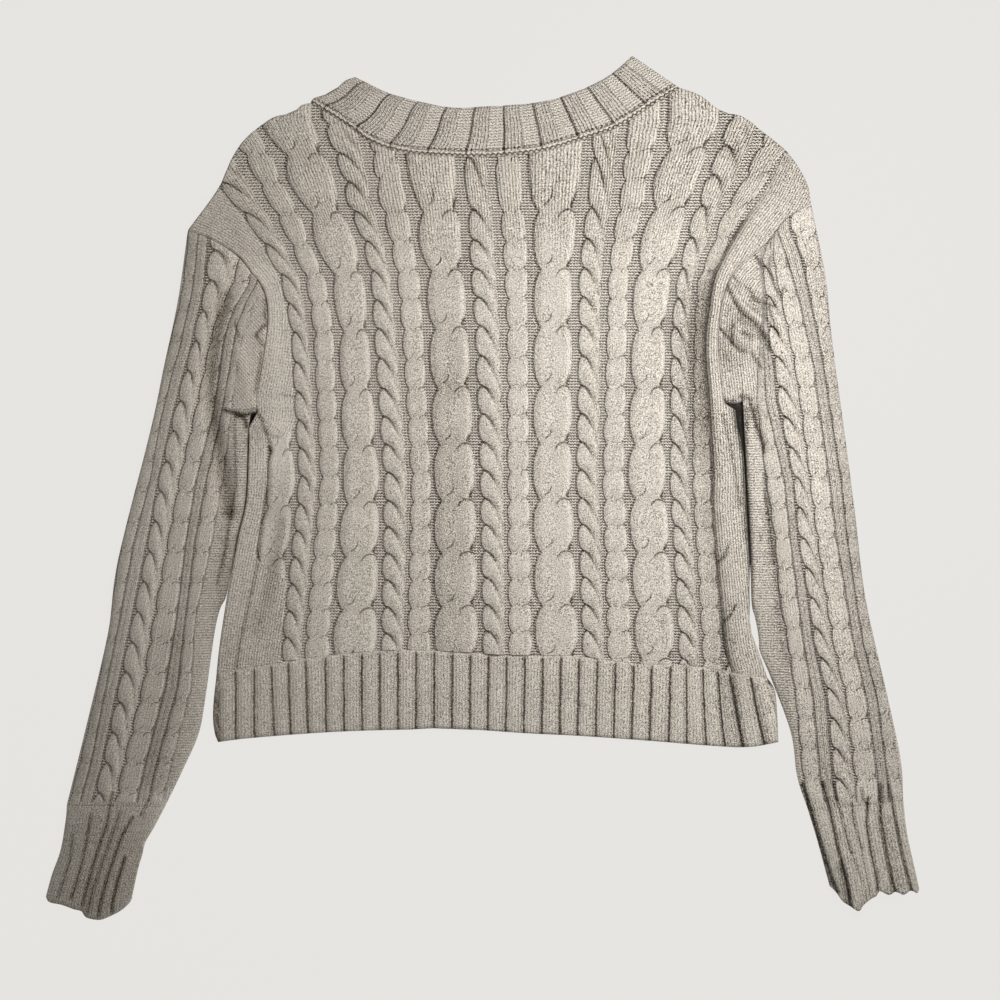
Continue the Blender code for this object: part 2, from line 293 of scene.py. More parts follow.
ropeLook = {
    "left": 0.02,            # where the left edge lies between two crossings
    "leftDrawn": 0.18,       # how far it is drawn in at a crossing
    "rightDrawn": 0.10,      # and the right edge
    "late": 0.55,            # how many crossings later that is
    "leanFrom": 0.2,         # where across the rope a strand begins to fall away
    "lean": 2.0,             # how far it falls
    "crease": 0.07,          # width of the crease between two strands at its start
    "creaseGrowth": 0.09,    # how much wider it gets
}


@grouped("scalloped edge", "along", "drawnIn")
def scallop(along):
    # How far the edge of a cable is drawn in: 1 at a crossing, and nearly 0 between two.
    return power(distance(2 * fraction(along) - 1), roundness)


@grouped("rope cable", "across along", "rise crease shade edge inside")
def rope(across, along):
    # A rope of two strands. Both edges are scalloped. Each strand is a plump band that starts at
    # the left and falls away to the right: along - lean (across - leanFrom)^2. The rise is a dome
    # across the rope, times a dome across the strand. The crease between two strands fades on its
    # way.
    look = ropeLook
    left = look["left"] + look["leftDrawn"] * scallop(along)
    right = 1 - look["rightDrawn"] * scallop(along - look["late"])
    share = (across - left) / (right - left)
    dome = power(most(4 * share * (1 - share), 0.0), 0.5)
    strand = fraction(along - look["lean"] * power(most(across - look["leanFrom"], 0.0), 2.0))
    ridge = 1 - power(distance(2 * strand - 1), roundness)
    near = least(strand, 1 - strand)
    width = look["crease"] + look["creaseGrowth"] * ease(across, 0.3, 0.65)
    sharp = ease(near / width, 1.0, 0.12) * ease(across, 0.80, 0.42)
    edge = ease(distance(across - left), 0.075, 0.02)
    inside = within(across, left, right)
    # Painted shade: on the right of each strand before the next crease, and just below each crease. The
    # crease and the dark left edge are painted shade too.
    shade = ease(strand, 0.35, 0.95) * ease(across, 0.4, 0.7) + 0.6 * ease(strand, 0.3, 0.0)
    return dome * (0.4 + 0.6 * ridge), sharp * inside, shade * inside, edge, inside


def within(across, left, right):
    # 1 between two edges, falling to 0 just outside them.
    return ease(across, left - 0.02, left) * ease(across, right + 0.02, right)


@grouped("arc", "x y radius width", "line")
def arc(x, y, radius, width):
    # A thin line at one distance from a centre.
    return ease(distance(power(x * x + y * y, 0.5) - radius), width, 0.2 * width)


ovalLook = {
    "left": 0.02,            # where the left edge lies between two crossings
    "rightDrawn": 0.75,      # how far the right edge is drawn in, as a share of the left one
    "early": 0.08,           # how many crossings sooner that is
    "nearArc": (0.27, -0.25, 0.215, 0.03),    # middle, height, radius and width of the left arc
    "farArc": (0.81, 0.13, 0.21, 0.035),      # and of the right one
    "pinch": 0.3,            # how much lower the cable is at a crossing
}


@grouped("oval cable", "across along depth tall", "rise crease shade edge inside")
def oval(across, along, depth, tall):
    # A flat cable of ovals, "tall" times as high as wide. Both edges are scalloped, and the left
    # one is a dark line of painted shade. At each crossing one small arc curls up from the left and
    # another comes over from the right, both dark creases of painted shade. The rise is a plateau with
    # rounded sides, pinched at the crossings. Painted shade darkens the left side and the crossings, and
    # a painted highlight brightens the rim on the right.
    drawn = scallop(along)
    left = ovalLook["left"] + depth * drawn
    right = 1 - ovalLook["rightDrawn"] * depth * scallop(along + ovalLook["early"])
    share = (across - left) / (right - left)
    plateau = ease(share, 0.0, 0.22) * ease(share, 1.0, 0.86)
    pinch = 1 - ovalLook["pinch"] * drawn
    step = fraction(along + 0.5) - 0.5
    middle, height, radius, width = ovalLook["nearArc"]
    near = arc(across - middle, tall * (step - height), radius, width)
    near = near * ease(across, middle, 0.36) * ease(step, -0.3, -0.2) * ease(step, 0.0, -0.08)
    middle, height, radius, width = ovalLook["farArc"]
    far = arc(across - middle, tall * (step - height), radius, width)
    far = far * ease(step, 0.14, 0.06) * ease(across, 0.98, 0.9) * ease(across, 0.5, 0.62)
    corner = ease(distance(across - right), 0.05, 0.01)
    corner = corner * ease(step, -0.24, -0.12) * ease(step, -0.02, -0.07)
    edge = ease(distance(across - left), 0.045, 0.012)
    inside = within(across, left, right)
    # A painted highlight along the right rim, away from the crossings.
    rim = ease(share, 0.84, 0.92) * ease(share, 1.0, 0.96) * (1 - drawn)
    shade = ease(share, 0.25, 0.0) + 0.5 * drawn * ease(share, 0.1, 0.5) - 1.3 * rim
    crease = most(0.7 * near + 0.75 * far, corner)
    return plateau * pinch, crease * ease(depth, 0.03, 0.1), shade * inside, edge, inside


@grouped("purl rows", "wales rows", "dashes")
def purl(wales, rows):
    # Columns of short bent dashes, dark between bright bumps.
    place = distance(2 * fraction(wales) - 1)
    dash = ease(wave(rows + 0.42 * place), -0.2, 0.5)
    return dash * ease(place, 1.0, 0.7)


@grouped("knit stitches", "wales rows", "height holes")
def stitches(wales, rows):
    # Stocking stitch: in each wale two legs lean down towards its middle, row upon row. Small
    # holes show between the wales.
    place = fraction(wales)
    legs = power(distance(wave(place)), 0.7)
    lean = 0.5 + 0.5 * wave(rows + 0.55 * distance(2 * place - 1))
    gapBetween = ease(least(place, 1 - place), 0.3, 0.06)
    holes = gapBetween * (0.55 + 0.45 * ease(lean, 0.75, 0.2))
    return legs * (0.45 + 0.55 * lean), holes


@grouped("rib column", "across hollow", "rise crease")
def rib(across, hollow):
    # Rounded columns with a narrow groove between them; "hollow" is the groove's share.
    place = fraction(across)
    edge = least(place, 1 - place)
    column = power(1 - power(1 - least(edge / 0.5, 1.0), 3.0), 0.8)
    groove = ease(edge, hollow, 0.0)
    return column * (1 - groove), groove


curveSteps = 24      # straight steps that stand for each part of a curve


def lengthAlong(line):
    # How far along a line each of its points lies.
    return np.concatenate(([0], np.cumsum(np.hypot(*np.diff(line, axis=0).T))))


def pair(a, b):
    # Two numbers for each point.
    return np.stack((a, b), axis=-1)


def smooth(edge, count):
    # Points at even steps on a Catmull-Rom curve through an edge's rows.
    knots = pair(edge["x"], edge["y"])
    padded = np.vstack((2 * knots[:1] - knots[1:2], knots, 2 * knots[-1:] - knots[-2:-1]))
    t = np.linspace(0, 1, curveSteps, endpoint=False)[:, None]
    runs = []
    for a, b, c, d in zip(padded, padded[1:], padded[2:], padded[3:]):
        cubic = (3 * b - a - 3 * c + d) * t ** 3
        runs.append((2 * b + (c - a) * t + (2 * a - 5 * b + 4 * c - d) * t ** 2 + cubic) / 2)
    line = np.vstack(runs + [knots[-1:]])
    length = lengthAlong(line)
    at = np.linspace(0, length[-1], count)
    return pair(np.interp(at, length, line[:, 0]), np.interp(at, length, line[:, 1]))


def chain(*runs):
    # One edge from several, each with its number of cells; a gap between two takes one cell.
    places, points, place = [], [], 0.0
    for edge, cells in runs:
        line = edge if isinstance(edge, np.ndarray) else smooth(edge, cells * curveSteps + 1)
        if points and np.hypot(*(line[0] - points[-1][-1])) > 0.01:
            place += 1
        places.append(place + np.linspace(0, cells, len(line)))
        points.append(line)
        place += cells
    return np.concatenate(places) / place, np.vstack(points)


def onEdge(edge, at):
    # Points of a chained edge, at shares of the way along it.
    places, points = edge
    return pair(np.interp(at, places, points[:, 0]), np.interp(at, places, points[:, 1]))


def coons(left, right, bottom, top, u, v):
    # Coons surface over four edges: the two blends between facing edges, less the blend of the
    # corners. Rows run from bottom to top and columns from left to right.
    b, t = onEdge(bottom, u)[None], onEdge(top, u)[None]
    l, r = onEdge(left, v)[:, None], onEdge(right, v)[:, None]
    u, v = u[None, :, None], v[:, None, None]
    ends = np.array((0.0, 1.0))
    (b0, b1), (t0, t1) = onEdge(bottom, ends), onEdge(top, ends)
    (l0, l1), (r0, r1) = onEdge(left, ends), onEdge(right, ends)
    l = l + (1 - v) * (b0 - l0) + v * (t0 - l1)
    r = r + (1 - v) * (b1 - r0) + v * (t1 - r1)
    corners = (1 - v) * ((1 - u) * b0 + u * b1) + v * ((1 - u) * t0 + u * t1)
    return (1 - v) * b + v * t + (1 - u) * l + u * r - corners


def aside(line, move):
    # The same line moved towards its right-hand side, as it is travelled.
    along = np.gradient(line, axis=0)
    along /= np.hypot(along[:, 0], along[:, 1])[:, None]
    return line + move * pair(along[:, 1], -along[:, 0])


def steps(length, spacing, first=0.35, growth=0.45, close=5):
    # Shares from 0 to 1 along a length: even, with a few short steps at both ends for the round
    # edge. The k-th of those ends at first * k (1 + growth * k).
    ends = first * np.arange(close + 1) * (1 + np.arange(close + 1) * growth)
    middle = np.linspace(ends[-1], length - ends[-1], max(int((length - 2 * ends[-1]) / spacing), 2))
    return np.concatenate((ends[:-1], middle, length - ends[-2::-1])) / length


def fromEdges(plan):
    # For each point of a grid, its distance from the left, right, bottom and top edges.
    alongRow = np.hypot(*np.moveaxis(np.diff(plan, axis=1), 2, 0))
    alongColumn = np.hypot(*np.moveaxis(np.diff(plan, axis=0), 2, 0))
    left = np.pad(np.cumsum(alongRow, axis=1), ((0, 0), (1, 0)))
    bottom = np.pad(np.cumsum(alongColumn, axis=0), ((1, 0), (0, 0)))
    return left, left[:, -1:] - left, bottom, bottom[-1:] - bottom


def roundedBy(away, radius, drop):
    # How much lower the cloth is near an edge: a quarter circle over the radius, scaled to the drop.
    inward = 1 - np.clip(away / radius, 0, 1)
    return drop * (1 - np.sqrt(np.maximum(1 - inward ** 2, 0)))


def fromSegment(x, y, ax, ay, bx, by):
    # Distance from each point to a straight segment, and how far along it the nearest point lies.
    dx, dy = bx - ax, by - ay
    share = np.clip(((x - ax) * dx + (y - ay) * dy) / (dx * dx + dy * dy), 0, 1)
    return np.hypot(x - ax - share * dx, y - ay - share * dy), share * np.hypot(dx, dy)


def nearLine(x, y, edge, count=120):
    # Distance from each point to a curve, and how far along the curve its nearest point lies.
    line = smooth(edge, count)
    best = np.full(x.shape, np.inf)
    run = np.zeros(x.shape)
    for a, b, start in zip(line[:-1], line[1:], lengthAlong(line)):
        away, onward = fromSegment(x, y, *a, *b)
        closer = away < best
        best = np.where(closer, away, best)
        run = np.where(closer, start + onward, run)
    return best, run


def strokes(x, y, lines):
    # Folds, creases and shades. Each row is a width, a strength, then the x and y of
    # the points of a line; it fades from the line as exp(-(distance / width)^2).
    total = np.zeros_like(x)
    for width, strength, *line in lines:
        parts = zip(line[::2], line[1::2], line[2::2], line[3::2])
        away = reduce(np.minimum, [fromSegment(x, y, *ends)[0] for ends in parts])
        total += strength * bell(away, width)
    return total


def bell(away, width):
    # 1 on a line, falling off on both sides as exp(-(distance / width)^2).
    return np.exp(-(away / width) ** 2)


def splitAt(line, x):
    # The parts of a line on both sides of a place; each keeps the points within half a millimetre.
    return line[line[:, 0] <= x + 0.5], line[line[:, 0] >= x - 0.5]


def loopOf(rows, columns, start):
    # Indices round the border of a grid, anticlockwise from above.
    corner = start + np.arange(rows * columns).reshape(rows, columns)
    return np.concatenate((corner[0, :-1], corner[:-1, -1], corner[-1, :0:-1], corner[:0:-1, 0]))


def gridQuads(rows, columns, start, downwards=False):
    # Quads between the points of a grid, facing up or down.
    corner = start + np.arange(rows * columns).reshape(rows, columns)
    quads = np.stack((corner[:-1, :-1], corner[:-1, 1:], corner[1:, 1:], corner[1:, :-1]), axis=-1)
    quads = quads.reshape(-1, 4)
    return quads[:, ::-1] if downwards else quads


def stitchLoops(upper, lower, vertices):
    # Triangles between two loops with different numbers of points: every edge of one loop is
    # joined to the point of the other that lies at the same share of the way round, in plan.
    middles = []
    for loop in (upper, lower):
        way = lengthAlong(vertices[np.append(loop, loop[0]), :2])
        middles.append((way[1:] + way[:-1]) / (2 * way[-1]))
    below = np.searchsorted(middles[1], middles[0], side="right") % len(lower)
    above = np.searchsorted(middles[0], middles[1], side="left") % len(upper)
    down = np.column_stack((np.roll(upper, -1), upper, lower[below]))
    up = np.column_stack((lower, np.roll(lower, -1), upper[above]))
    return np.vstack((down, up))


def placed(name, data):
    # An object in the scene for a mesh, a light or a camera.
    thing = bpy.data.objects.new(name, data)
    bpy.context.scene.collection.objects.link(thing)
    return thing


def clothObject(name, vertices, faces, maps, material):
    # A smooth object from its points in millimetres, its faces, and three maps on its points: the
    # place in the stitch pattern, the place along a seam, and the painted shade (a painted highlight
    # below 0) and how plain it is.
    mesh = bpy.data.meshes.new(name)
    corners = np.concatenate([part.ravel() for part in faces])
    sizes = np.concatenate([np.full(len(part), part.shape[1]) for part in faces])
    mesh.vertices.add(len(vertices))
    mesh.vertices.foreach_set("co", (vertices * mm).astype(np.float32).ravel())
    mesh.loops.add(len(corners))
    mesh.loops.foreach_set("vertex_index", corners.astype(np.int32))
    mesh.polygons.add(len(sizes))
    mesh.polygons.foreach_set("loop_start", (np.cumsum(sizes) - sizes).astype(np.int32))
    mesh.update(calc_edges=True)
    for label, values in zip(("pattern", "seam", "fold"), np.moveaxis(maps.reshape(-1, 3, 2), 1, 0)):
        layer = mesh.uv_layers.new(name=label)
        layer.uv.foreach_set("vector", values[corners].astype(np.float32).ravel())
    mesh.shade_smooth()
    mesh.materials.append(material)
    return placed(name, mesh)


def finishPiece(piece, node):
    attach(piece, "root")
    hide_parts(node)
    print(piece.name, "done with", len(piece.data.polygons), "faces")


def joinMaps(pattern, seam, fold):
    # The three maps of a grid as six numbers for each of its points.
    return np.concatenate([part.reshape(-1, 2) for part in (pattern, seam, fold)], axis=1)


def panel(name, fine, coarse, maps, material, fineBelow=False):
    # A closed piece of cloth: one side is a fine grid of points, the other a coarser one, and
    # the rim between them is stitched. The maps are given on the points of both grids.
    vertices = np.vstack((fine.reshape(-1, 3), coarse.reshape(-1, 3)))
    count = fine.shape[0] * fine.shape[1]
    faces = [
        gridQuads(*fine.shape[:2], 0, downwards=fineBelow),
        gridQuads(*coarse.shape[:2], count, downwards=not fineBelow),
    ]
    rim = stitchLoops(loopOf(*fine.shape[:2], 0), loopOf(*coarse.shape[:2], count), vertices)
    faces.append(rim[:, ::-1] if fineBelow else rim)
    return clothObject(name, vertices, faces, np.vstack(maps), material)


def ringQuads(lower, upper, flipped):
    # Quads between rings of points, each of them closed on itself.
    lowerNext, upperNext = [np.roll(ring, -1, axis=-1) for ring in (lower, upper)]
    quads = np.stack((lower, lowerNext, upperNext, upper), axis=-1).reshape(-1, 4)
    return quads[:, ::-1] if flipped else quads


def tube(name, outerTop, outerUnder, inner, maps, material):
    # A closed tube of cloth. Each row of the outer side is a ring: over the top from one edge to
    # the other, then back along the underside. The inner wall has fewer rows, and joins the
    # outer one at both ends.
    outer = np.concatenate((outerTop, outerUnder[:, -2:0:-1]), axis=1)
    rows, around = outer.shape[:2]
    wall = np.arange(rows * around).reshape(rows, around)
    lining = rows * around + np.arange(len(inner) * around).reshape(len(inner), around)
    faces = [
        ringQuads(wall[:-1], wall[1:], True),
        ringQuads(lining[:-1], lining[1:], False),
        ringQuads(wall[0], lining[0], False),
        ringQuads(wall[-1], lining[-1], True),
    ]
    widthwise = outerTop[0, -1, 0] - outerTop[0, 0, 0]
    lengthwise = outerTop[-1, 0, 1] - outerTop[0, 0, 1]
    if widthwise * lengthwise > 0:
        faces = [part[:, ::-1] for part in faces]
    vertices = np.vstack((outer.reshape(-1, 3), inner.reshape(-1, 3)))
    return clothObject(name, vertices, faces, maps, material)


def xy(plan):
    return plan[..., 0], plan[..., 1]


def withHeight(plan, height):
    # Points in plan, each with its height.
    return np.dstack((plan, np.broadcast_to(height, plan.shape[:2])))


woolLook = {
    # The wool goes from the light tone to the dark one as it darkens, for its dark fibres and for the
    # painted shade; past that it turns to the near black of painted shadow.
    "light": (0.92, 0.848, 0.752),
    "dark": (0.095, 0.067, 0.030),
    "paintedShadow": (0.012, 0.008, 0.005),
    "speckle": 4.3,          # contrast of the single hairs
    "hairs": 1550,           # their number in a metre
    "hairHeight": 0.5,       # in the bump
    "blotch": 0.30,          # contrast of the soft patches
    "patches": 45,           # their number in a metre
    "grain": 0.7,            # roughness of both noises
    "base": 0.22,            # darkness of the plain cloth
    "middle": 0.2,           # the tone that the contrast leaves alone
    "softest": 0.52,         # contrast at the left of the garment
    "harder": 0.70,          # how much more it is at the right
    # Limits of the darkness: a painted highlight below 0, painted shadow above 1.
    "brightest": -0.08,
    "deepest": 1.3,
    "roughness": 0.95,
    "specular": 0.2,
    "sheen": 0.12,
    "sheenRoughness": 0.6,
}


@grouped("wool darkness", "groove speckle blotch fold across", "darkness")
def woolDarkness(groove, speckle, blotch, fold, across):
    # The painted shade in the grooves of the knit, plus speckles and blotches about their means, then
    # the painted shade of the folds and gaps: contrast * (share - middle) + middle + base + shade. The
    # contrast is softer at the left of the garment. Below 0 it is a painted highlight, and above 1
    # painted shadow that turns black.
    contrast = woolLook["softest"] + woolLook["harder"] * ease(across, -0.36, 0.22)
    share = groove + woolLook["speckle"] * (0.5 - speckle) + woolLook["blotch"] * (0.5 - blotch)
    tone = contrast * (share - woolLook["middle"]) + woolLook["middle"] + woolLook["base"] + fold
    return least(most(tone, woolLook["brightest"]), woolLook["deepest"])


def noiseWire(tree, scale, detail):
    place = addNode(tree, "TexCoord", {}, "Object")
    inputs = {"Scale": scale, "Detail": detail, "Roughness": woolLook["grain"], "Vector": place}
    return addNode(tree, "TexNoise", inputs, "Fac")


def xyWires(tree, vector):
    # The first two numbers of a vector.
    return [addNode(tree, "SeparateXYZ", {"Vector": vector}, axis) for axis in "XY"]


def placeWires(tree):
    # How far to the right and how far up the garment, in metres.
    return xyWires(tree, addNode(tree, "TexCoord", {}, "Object"))


def newMaterial(name, inputs):
    material = bpy.data.materials.new(name)
    material.use_nodes = True
    setShader(material, inputs)
    return material


def setShader(material, inputs):
    shader = material.node_tree.nodes["Principled BSDF"]
    for name, value in inputs.items():
        feed(material.node_tree, value, shader.inputs[name])


def newWool(name):
    # A material, its nodes, and six wires: the two numbers of each of the three maps of a piece.
    material = newMaterial(name, {
        "Roughness": woolLook["roughness"],
        "Specular IOR Level": woolLook["specular"],
        "Sheen Weight": woolLook["sheen"],
        "Sheen Roughness": woolLook["sheenRoughness"],
    })
    tree = material.node_tree
    wires = []
    for label in ("pattern", "seam", "fold"):
        wires += xyWires(tree, addNode(tree, "UVMap", {}, "UV", uv_map=label))
    return material, tree, *wires


def woolShader(material, groove, height, fold):
    # Wool from a mask of painted shade in the grooves and a height in millimetres, with speckles and soft
    # blotches, and the painted shade of its map.
    tree = material.node_tree
    speckle = noiseWire(tree, woolLook["hairs"], 1.0)
    blotch = noiseWire(tree, woolLook["patches"], 3.0)
    darkness = woolDarkness(groove, speckle, blotch, fold, placeWires(tree)[0])
    light, dark, paintedShadow = [(*woolLook[tone], 1) for tone in ("light", "dark", "paintedShadow")]
    wool = addNode(tree, "Mix", {"Factor": least(darkness, 1.0), "A": light, "B": dark}, "Result",
                   data_type="RGBA", clamp_factor=False, clamp_result=True)
    # Past the deepest darkness the wool turns to near black: painted shadow.
    blackness = ease(darkness, 1.0, woolLook["deepest"])
    wool = addNode(tree, "Mix", {"Factor": blackness, "A": wool, "B": paintedShadow}, "Result", data_type="RGBA")
    relief = {"Distance": mm, "Height": height + woolLook["hairHeight"] * speckle}
    setShader(material, {"Base Color": wool, "Normal": addNode(tree, "Bump", relief, "Normal")})


# Where the cables of the back lie: the left edge of each one, at several heights.
backCables = {
    "edges": table(
        "y wide0 rope1 small1 wide1 rope2 small2 wide2 rope3 small3 wide3 rope4 small4 wide4 "
        "rope5 small5 wide5 rope6",
        (-122, -193, -161, -142, -120, -82, -60, -39, -1, 21, 42, 79, 100, 122, 156, 176, 193, 224),
        (6, -172, -148, -130, -112, -80, -57, -39, -3, 20, 40, 74, 96, 116, 149, 168, 185, 214),
        (126, -180, -154, -136, -116, -88, -65, -44, -7, 19, 40, 76, 99, 119, 150, 169, 185, 212),
        (166, -190, -162, -142, -122, -90, -69, -46, -10, 17, 40, 76, 100, 120, 155, 172, 187, 216),
        (198, -209, -179, -156, -136, -97, -75, -52, -12, 15, 40, 79, 103, 126, 162, 185, 200, 230),
        (214, -219, -190, -164, -140, -104, -79, -54, -12, 14, 38, 81, 106, 130, 166, 190, 208, 240),
        (230, -230, -203, -173, -148, -110, -84, -56, -13, 12, 36, 83, 109, 134, 173, 198, 221, 252),
        (246, -242, -216, -182, -157, -112, -86, -60, -15, 10, 36, 85, 111, 136, 177, 208, 232, 268),
        (262, -256, -230, -190, -162, -118, -89, -62, -16, 8, 36, 86, 112, 141, 184, 215, 240, 286),
        (294, -282, -258, -212, -180, -130, -94, -66, -18, 6, 36, 88, 116, 148, 196, 230, 272, 310)),
    "lanes": (                            # of the rope, the small and the wide cable in a repeat:
        (0.0, 0.0, 0.235, 0.025),         # its start, how much sooner that is at the hem, its
        (0.30, 0.012, 0.21, 0.028),       # width, and how much wider it is at the hem
        (0.56, 0.012, 0.378, 0.038)),
    "depths": (0.165, 0.175),             # of the scallops of the small and the wide cable
    "tall": (1.05, 1.36),                 # how high their ovals are for their width
    "rows": (266, 220, 174, 128, 80, 35, -10, -52, -95, -137),   # height of each wide crossing
    "sag": 1.25e-4,                       # how much the rows bend down towards the sides
    "lift": 0.045,                        # how much they rise at the right shoulder
    "late": 22,                           # how much later they begin below the neck
    "middle": 56,                         # where the rows bend least
    "repeat": 62,                         # width of a repeat beyond the outermost cables
    "above": 46,                          # from one crossing to the next above the first row
    "below": 43,                          # and below the last one
}


def laneAt(y, edges, name):
    # Where the left edge of one cable lies at some heights.
    order = np.argsort(edges["y"])
    return np.interp(y, edges["y"][order], edges[name][order])


def acrossLanes(x, y, edges, marks, outside):
    # Across a piece: the edge of each cable has a mark, with straight steps between them.
    lines = [laneAt(y, edges, name) for name in edges if name != "y"]
    across = marks[0] + (np.minimum(x, lines[0]) - lines[0]) / outside
    for left, right, mark, following in zip(lines, lines[1:], marks, marks[1:]):
        across += np.clip((x - left) / (right - left), 0, 1) * (following - mark)
    return across + (np.maximum(x, lines[-1]) - lines[-1]) / outside


def backPattern(x, y):
    # Across in repeats, and along in crossings, counted downwards from the neck. The rows bend as
    # sag * offset^2, and rise by lift * offset near the shoulders.
    starts = [lane[0] for lane in backCables["lanes"]]
    marks = [starts[2]] + [1 + k // 3 + starts[k % 3] for k in range(len(backCables["edges"]) - 2)]
    across = acrossLanes(x, y, backCables["edges"], marks, backCables["repeat"])
    high = ease(y, 150, 250)
    offset = x - backCables["middle"]
    level = y + (1 - high) * backCables["sag"] * offset ** 2
    level = level - high * backCables["lift"] * np.maximum(offset, 0)
    level -= backCables["late"] * ease(np.abs(x - 8), 98, 78) * ease(y, 215, 275)
    heights = np.array(backCables["rows"], dtype=float)
    along = np.interp(-level, -heights, np.arange(len(heights)))
    along += (heights[0] - np.maximum(level, heights[0])) / backCables["above"]
    along += (heights[-1] - np.minimum(level, heights[-1])) / backCables["below"]
    return pair(across, along)


@grouped("body cables", "across along", "rise crease shade edge purls lines")
def bodyCables(across, along):
    # One repeat: a rope, a purl gutter, a small oval cable, a gutter, a wide one and a gutter.
    # Near the neck, before the first crossings, each is still plain, with open lines. The
    # cables widen towards the hem, and the gutters close up.
    place = fraction(across)
    begun = ease(along, -0.45, -0.2)
    grown = ease(along, 1.5, 7.0)
    shares = [(place - start + sooner * grown) / (width + wider * grown)
              for start, sooner, width, wider in backCables["lanes"]]
    (smallDepth, wideDepth), (smallTall, wideTall) = backCables["depths"], backCables["tall"]
    cables = (
        rope(shares[0], 2 * along + 0.07),
        oval(shares[1], 2 * along, smallDepth * begun, smallTall),
        oval(shares[2], along, wideDepth * begun, wideTall))
    rises, creases, shades, edges, insides = zip(*cables)
    rise = rises[0] * insides[0] + 0.6 * rises[1] * insides[1] + 0.7 * rises[2] * insides[2]
    crease = most(creases[0] * begun, creases[1] * 0.6, creases[2])
    shade = shades[0] * begun + 0.5 * (shades[1] + shades[2])
    return rise, crease, shade, most(*edges), 1 - most(*insides), ease(along, 2.1, 0.7)


marginLook = {
    "wale": 2.1,             # size of the plain stitches
    "row": 2.3,
    "rise": 1.2,
    "bump": 0.5,
    "holes": 0.66,           # how dark the holes between the stitches are
    "face": -0.05,           # and the stitches themselves
}


@grouped("knitted face", "crease shade edge purls dashes lines knit holes rows", "groove height")
def knittedFace(crease, shade, edge, purls, dashes, lines, knit, holes, rows):
    # How dark and how high the stitches are, from the masks of the cables. The darkness is painted
    # shade in the creases, along the edges and from the shade mask, over the purl dashes and the holes
    # between stitches. The edges of the cables are beaded, row by row.
    beaded = edge * (0.6 + 0.45 * wave(rows))
    face = (0.10 + 0.6 * lines) * holes * (1 - purls)
    groove = face + most(crease * 0.75, beaded * 0.85) + shade * 0.22 + purls * (0.02 + 0.98 * dashes)
    return groove, 0.35 * knit * (1 - purls) - 0.6 * dashes * purls - 0.9 * crease - 0.9 * edge


def cableMaterial(name, cables, wales, gutterWales):
    # Cables, with plain stocking stitch in the margins. The rows are counted by height.
    material, tree, across, along, away, run, fold, margin = newWool(name)
    crease, shade, edge, purls, lines = cables(across, along)[1:]
    margin = ease(margin, 0.45, 0.55)
    wander = noiseWire(tree, 160, 1.0)
    rows = placeWires(tree)[1] * (-1 / (mm * marginLook["row"]))
    knit, holes = stitches(across * wales + 0.8 * wander, rows + 2.0 * wander)
    dashes = purl(across * gutterWales + 0.3 * wander, rows)
    groove, height = knittedFace(crease, shade, edge, purls, dashes, lines, knit, holes, rows)
    plain, plainHoles = stitches(away / marginLook["wale"] + 0.5 * wander, run / marginLook["row"])
    groove = groove + margin * (marginLook["holes"] * plainHoles + marginLook["face"] - groove)
    woolShader(material, groove, height + margin * (marginLook["bump"] * plain - height), fold)
    return material


# The edges of the cables of each sleeve, from left to right, at several heights.
sleeveCables = {
    "left": table(
        "y edge rib1 rope oval rib2 small strip",
        (-266, -335, -326, -316, -298, -280, -271, -260),
        (-218, -322, -313, -304, -287, -269, -260, -248),
        (-160, -308, -302, -292, -273, -254, -244, -233),
        (-106, -299, -291, -281, -264, -245, -238, -230),
        (-42, -289, -279, -268, -252, -237, -230, -216),
        (6, -277, -266, -260, -243, -229, -221, -208),
        (54, -268, -258, -249, -232, -217, -210, -202),
        (90, -258, -249, -240, -224, -211, -203, -197),
        (114, -251, -242, -233, -219, -208, -199, -193),
        (130, -247, -239, -230, -215, -204, -196, -189),
        (146, -243, -235, -226, -209, -197, -190, -183),
        (162, -240, -232, -223, -201, -187, -181, -175),
        (198, -236, -228, -220, -190, -180, -174, -168)),
    "right": table(
        "y small rib1 rope oval rib2 edge end",
        (-266, 264, 276, 286, 300, 318, 326, 339),
        (-234, 256, 270, 280, 297, 316, 324, 334),
        (-170, 250, 264, 275, 290, 307, 316, 324),
        (-122, 243, 256, 264, 279, 296, 304, 312),
        (-90, 237, 252, 260, 274, 291, 299, 306),
        (-42, 233, 246, 252, 267, 283, 292, 300),
        (6, 226, 241, 248, 261, 277, 287, 295),
        (70, 219, 226, 235, 253, 268, 277, 287),
        (96, 220, 225, 233, 249, 265, 273, 284),
        (118, 222, 224, 228, 245, 260, 269, 280),
        (150, 224, 225, 226, 238, 253, 262, 275),
        (182, 221, 222, 223, 232, 243, 256, 270),
        (206, 230, 231, 232, 233, 235, 246, 268)),
    "crossing": 24.1,          # from one crossing of the rope to the next
    "first": {"left": -99.6, "right": 32.4},      # height of one of the crossings
    "outside": 15,             # width of a lane beyond the outermost edges
    "ovals": (1.0, 4.0, 6.0),  # lanes of the flat cables
    "rope": 3.0,               # lane of the rope
    "ribs": (2.5, 5.5),        # middles of the lanes of the ribs
    "depth": 0.14,             # of the scallops
    "tall": 1.6,               # how high the ovals are for their width
}


def sleevePattern(side, x, y):
    # Across in lanes, counted from 1 at the leftmost edge, and along in crossings.
    across = acrossLanes(x, y, sleeveCables[side], range(1, 8), sleeveCables["outside"])
    along = (sleeveCables["first"][side] - y) / sleeveCables["crossing"]
    return pair(across, along)


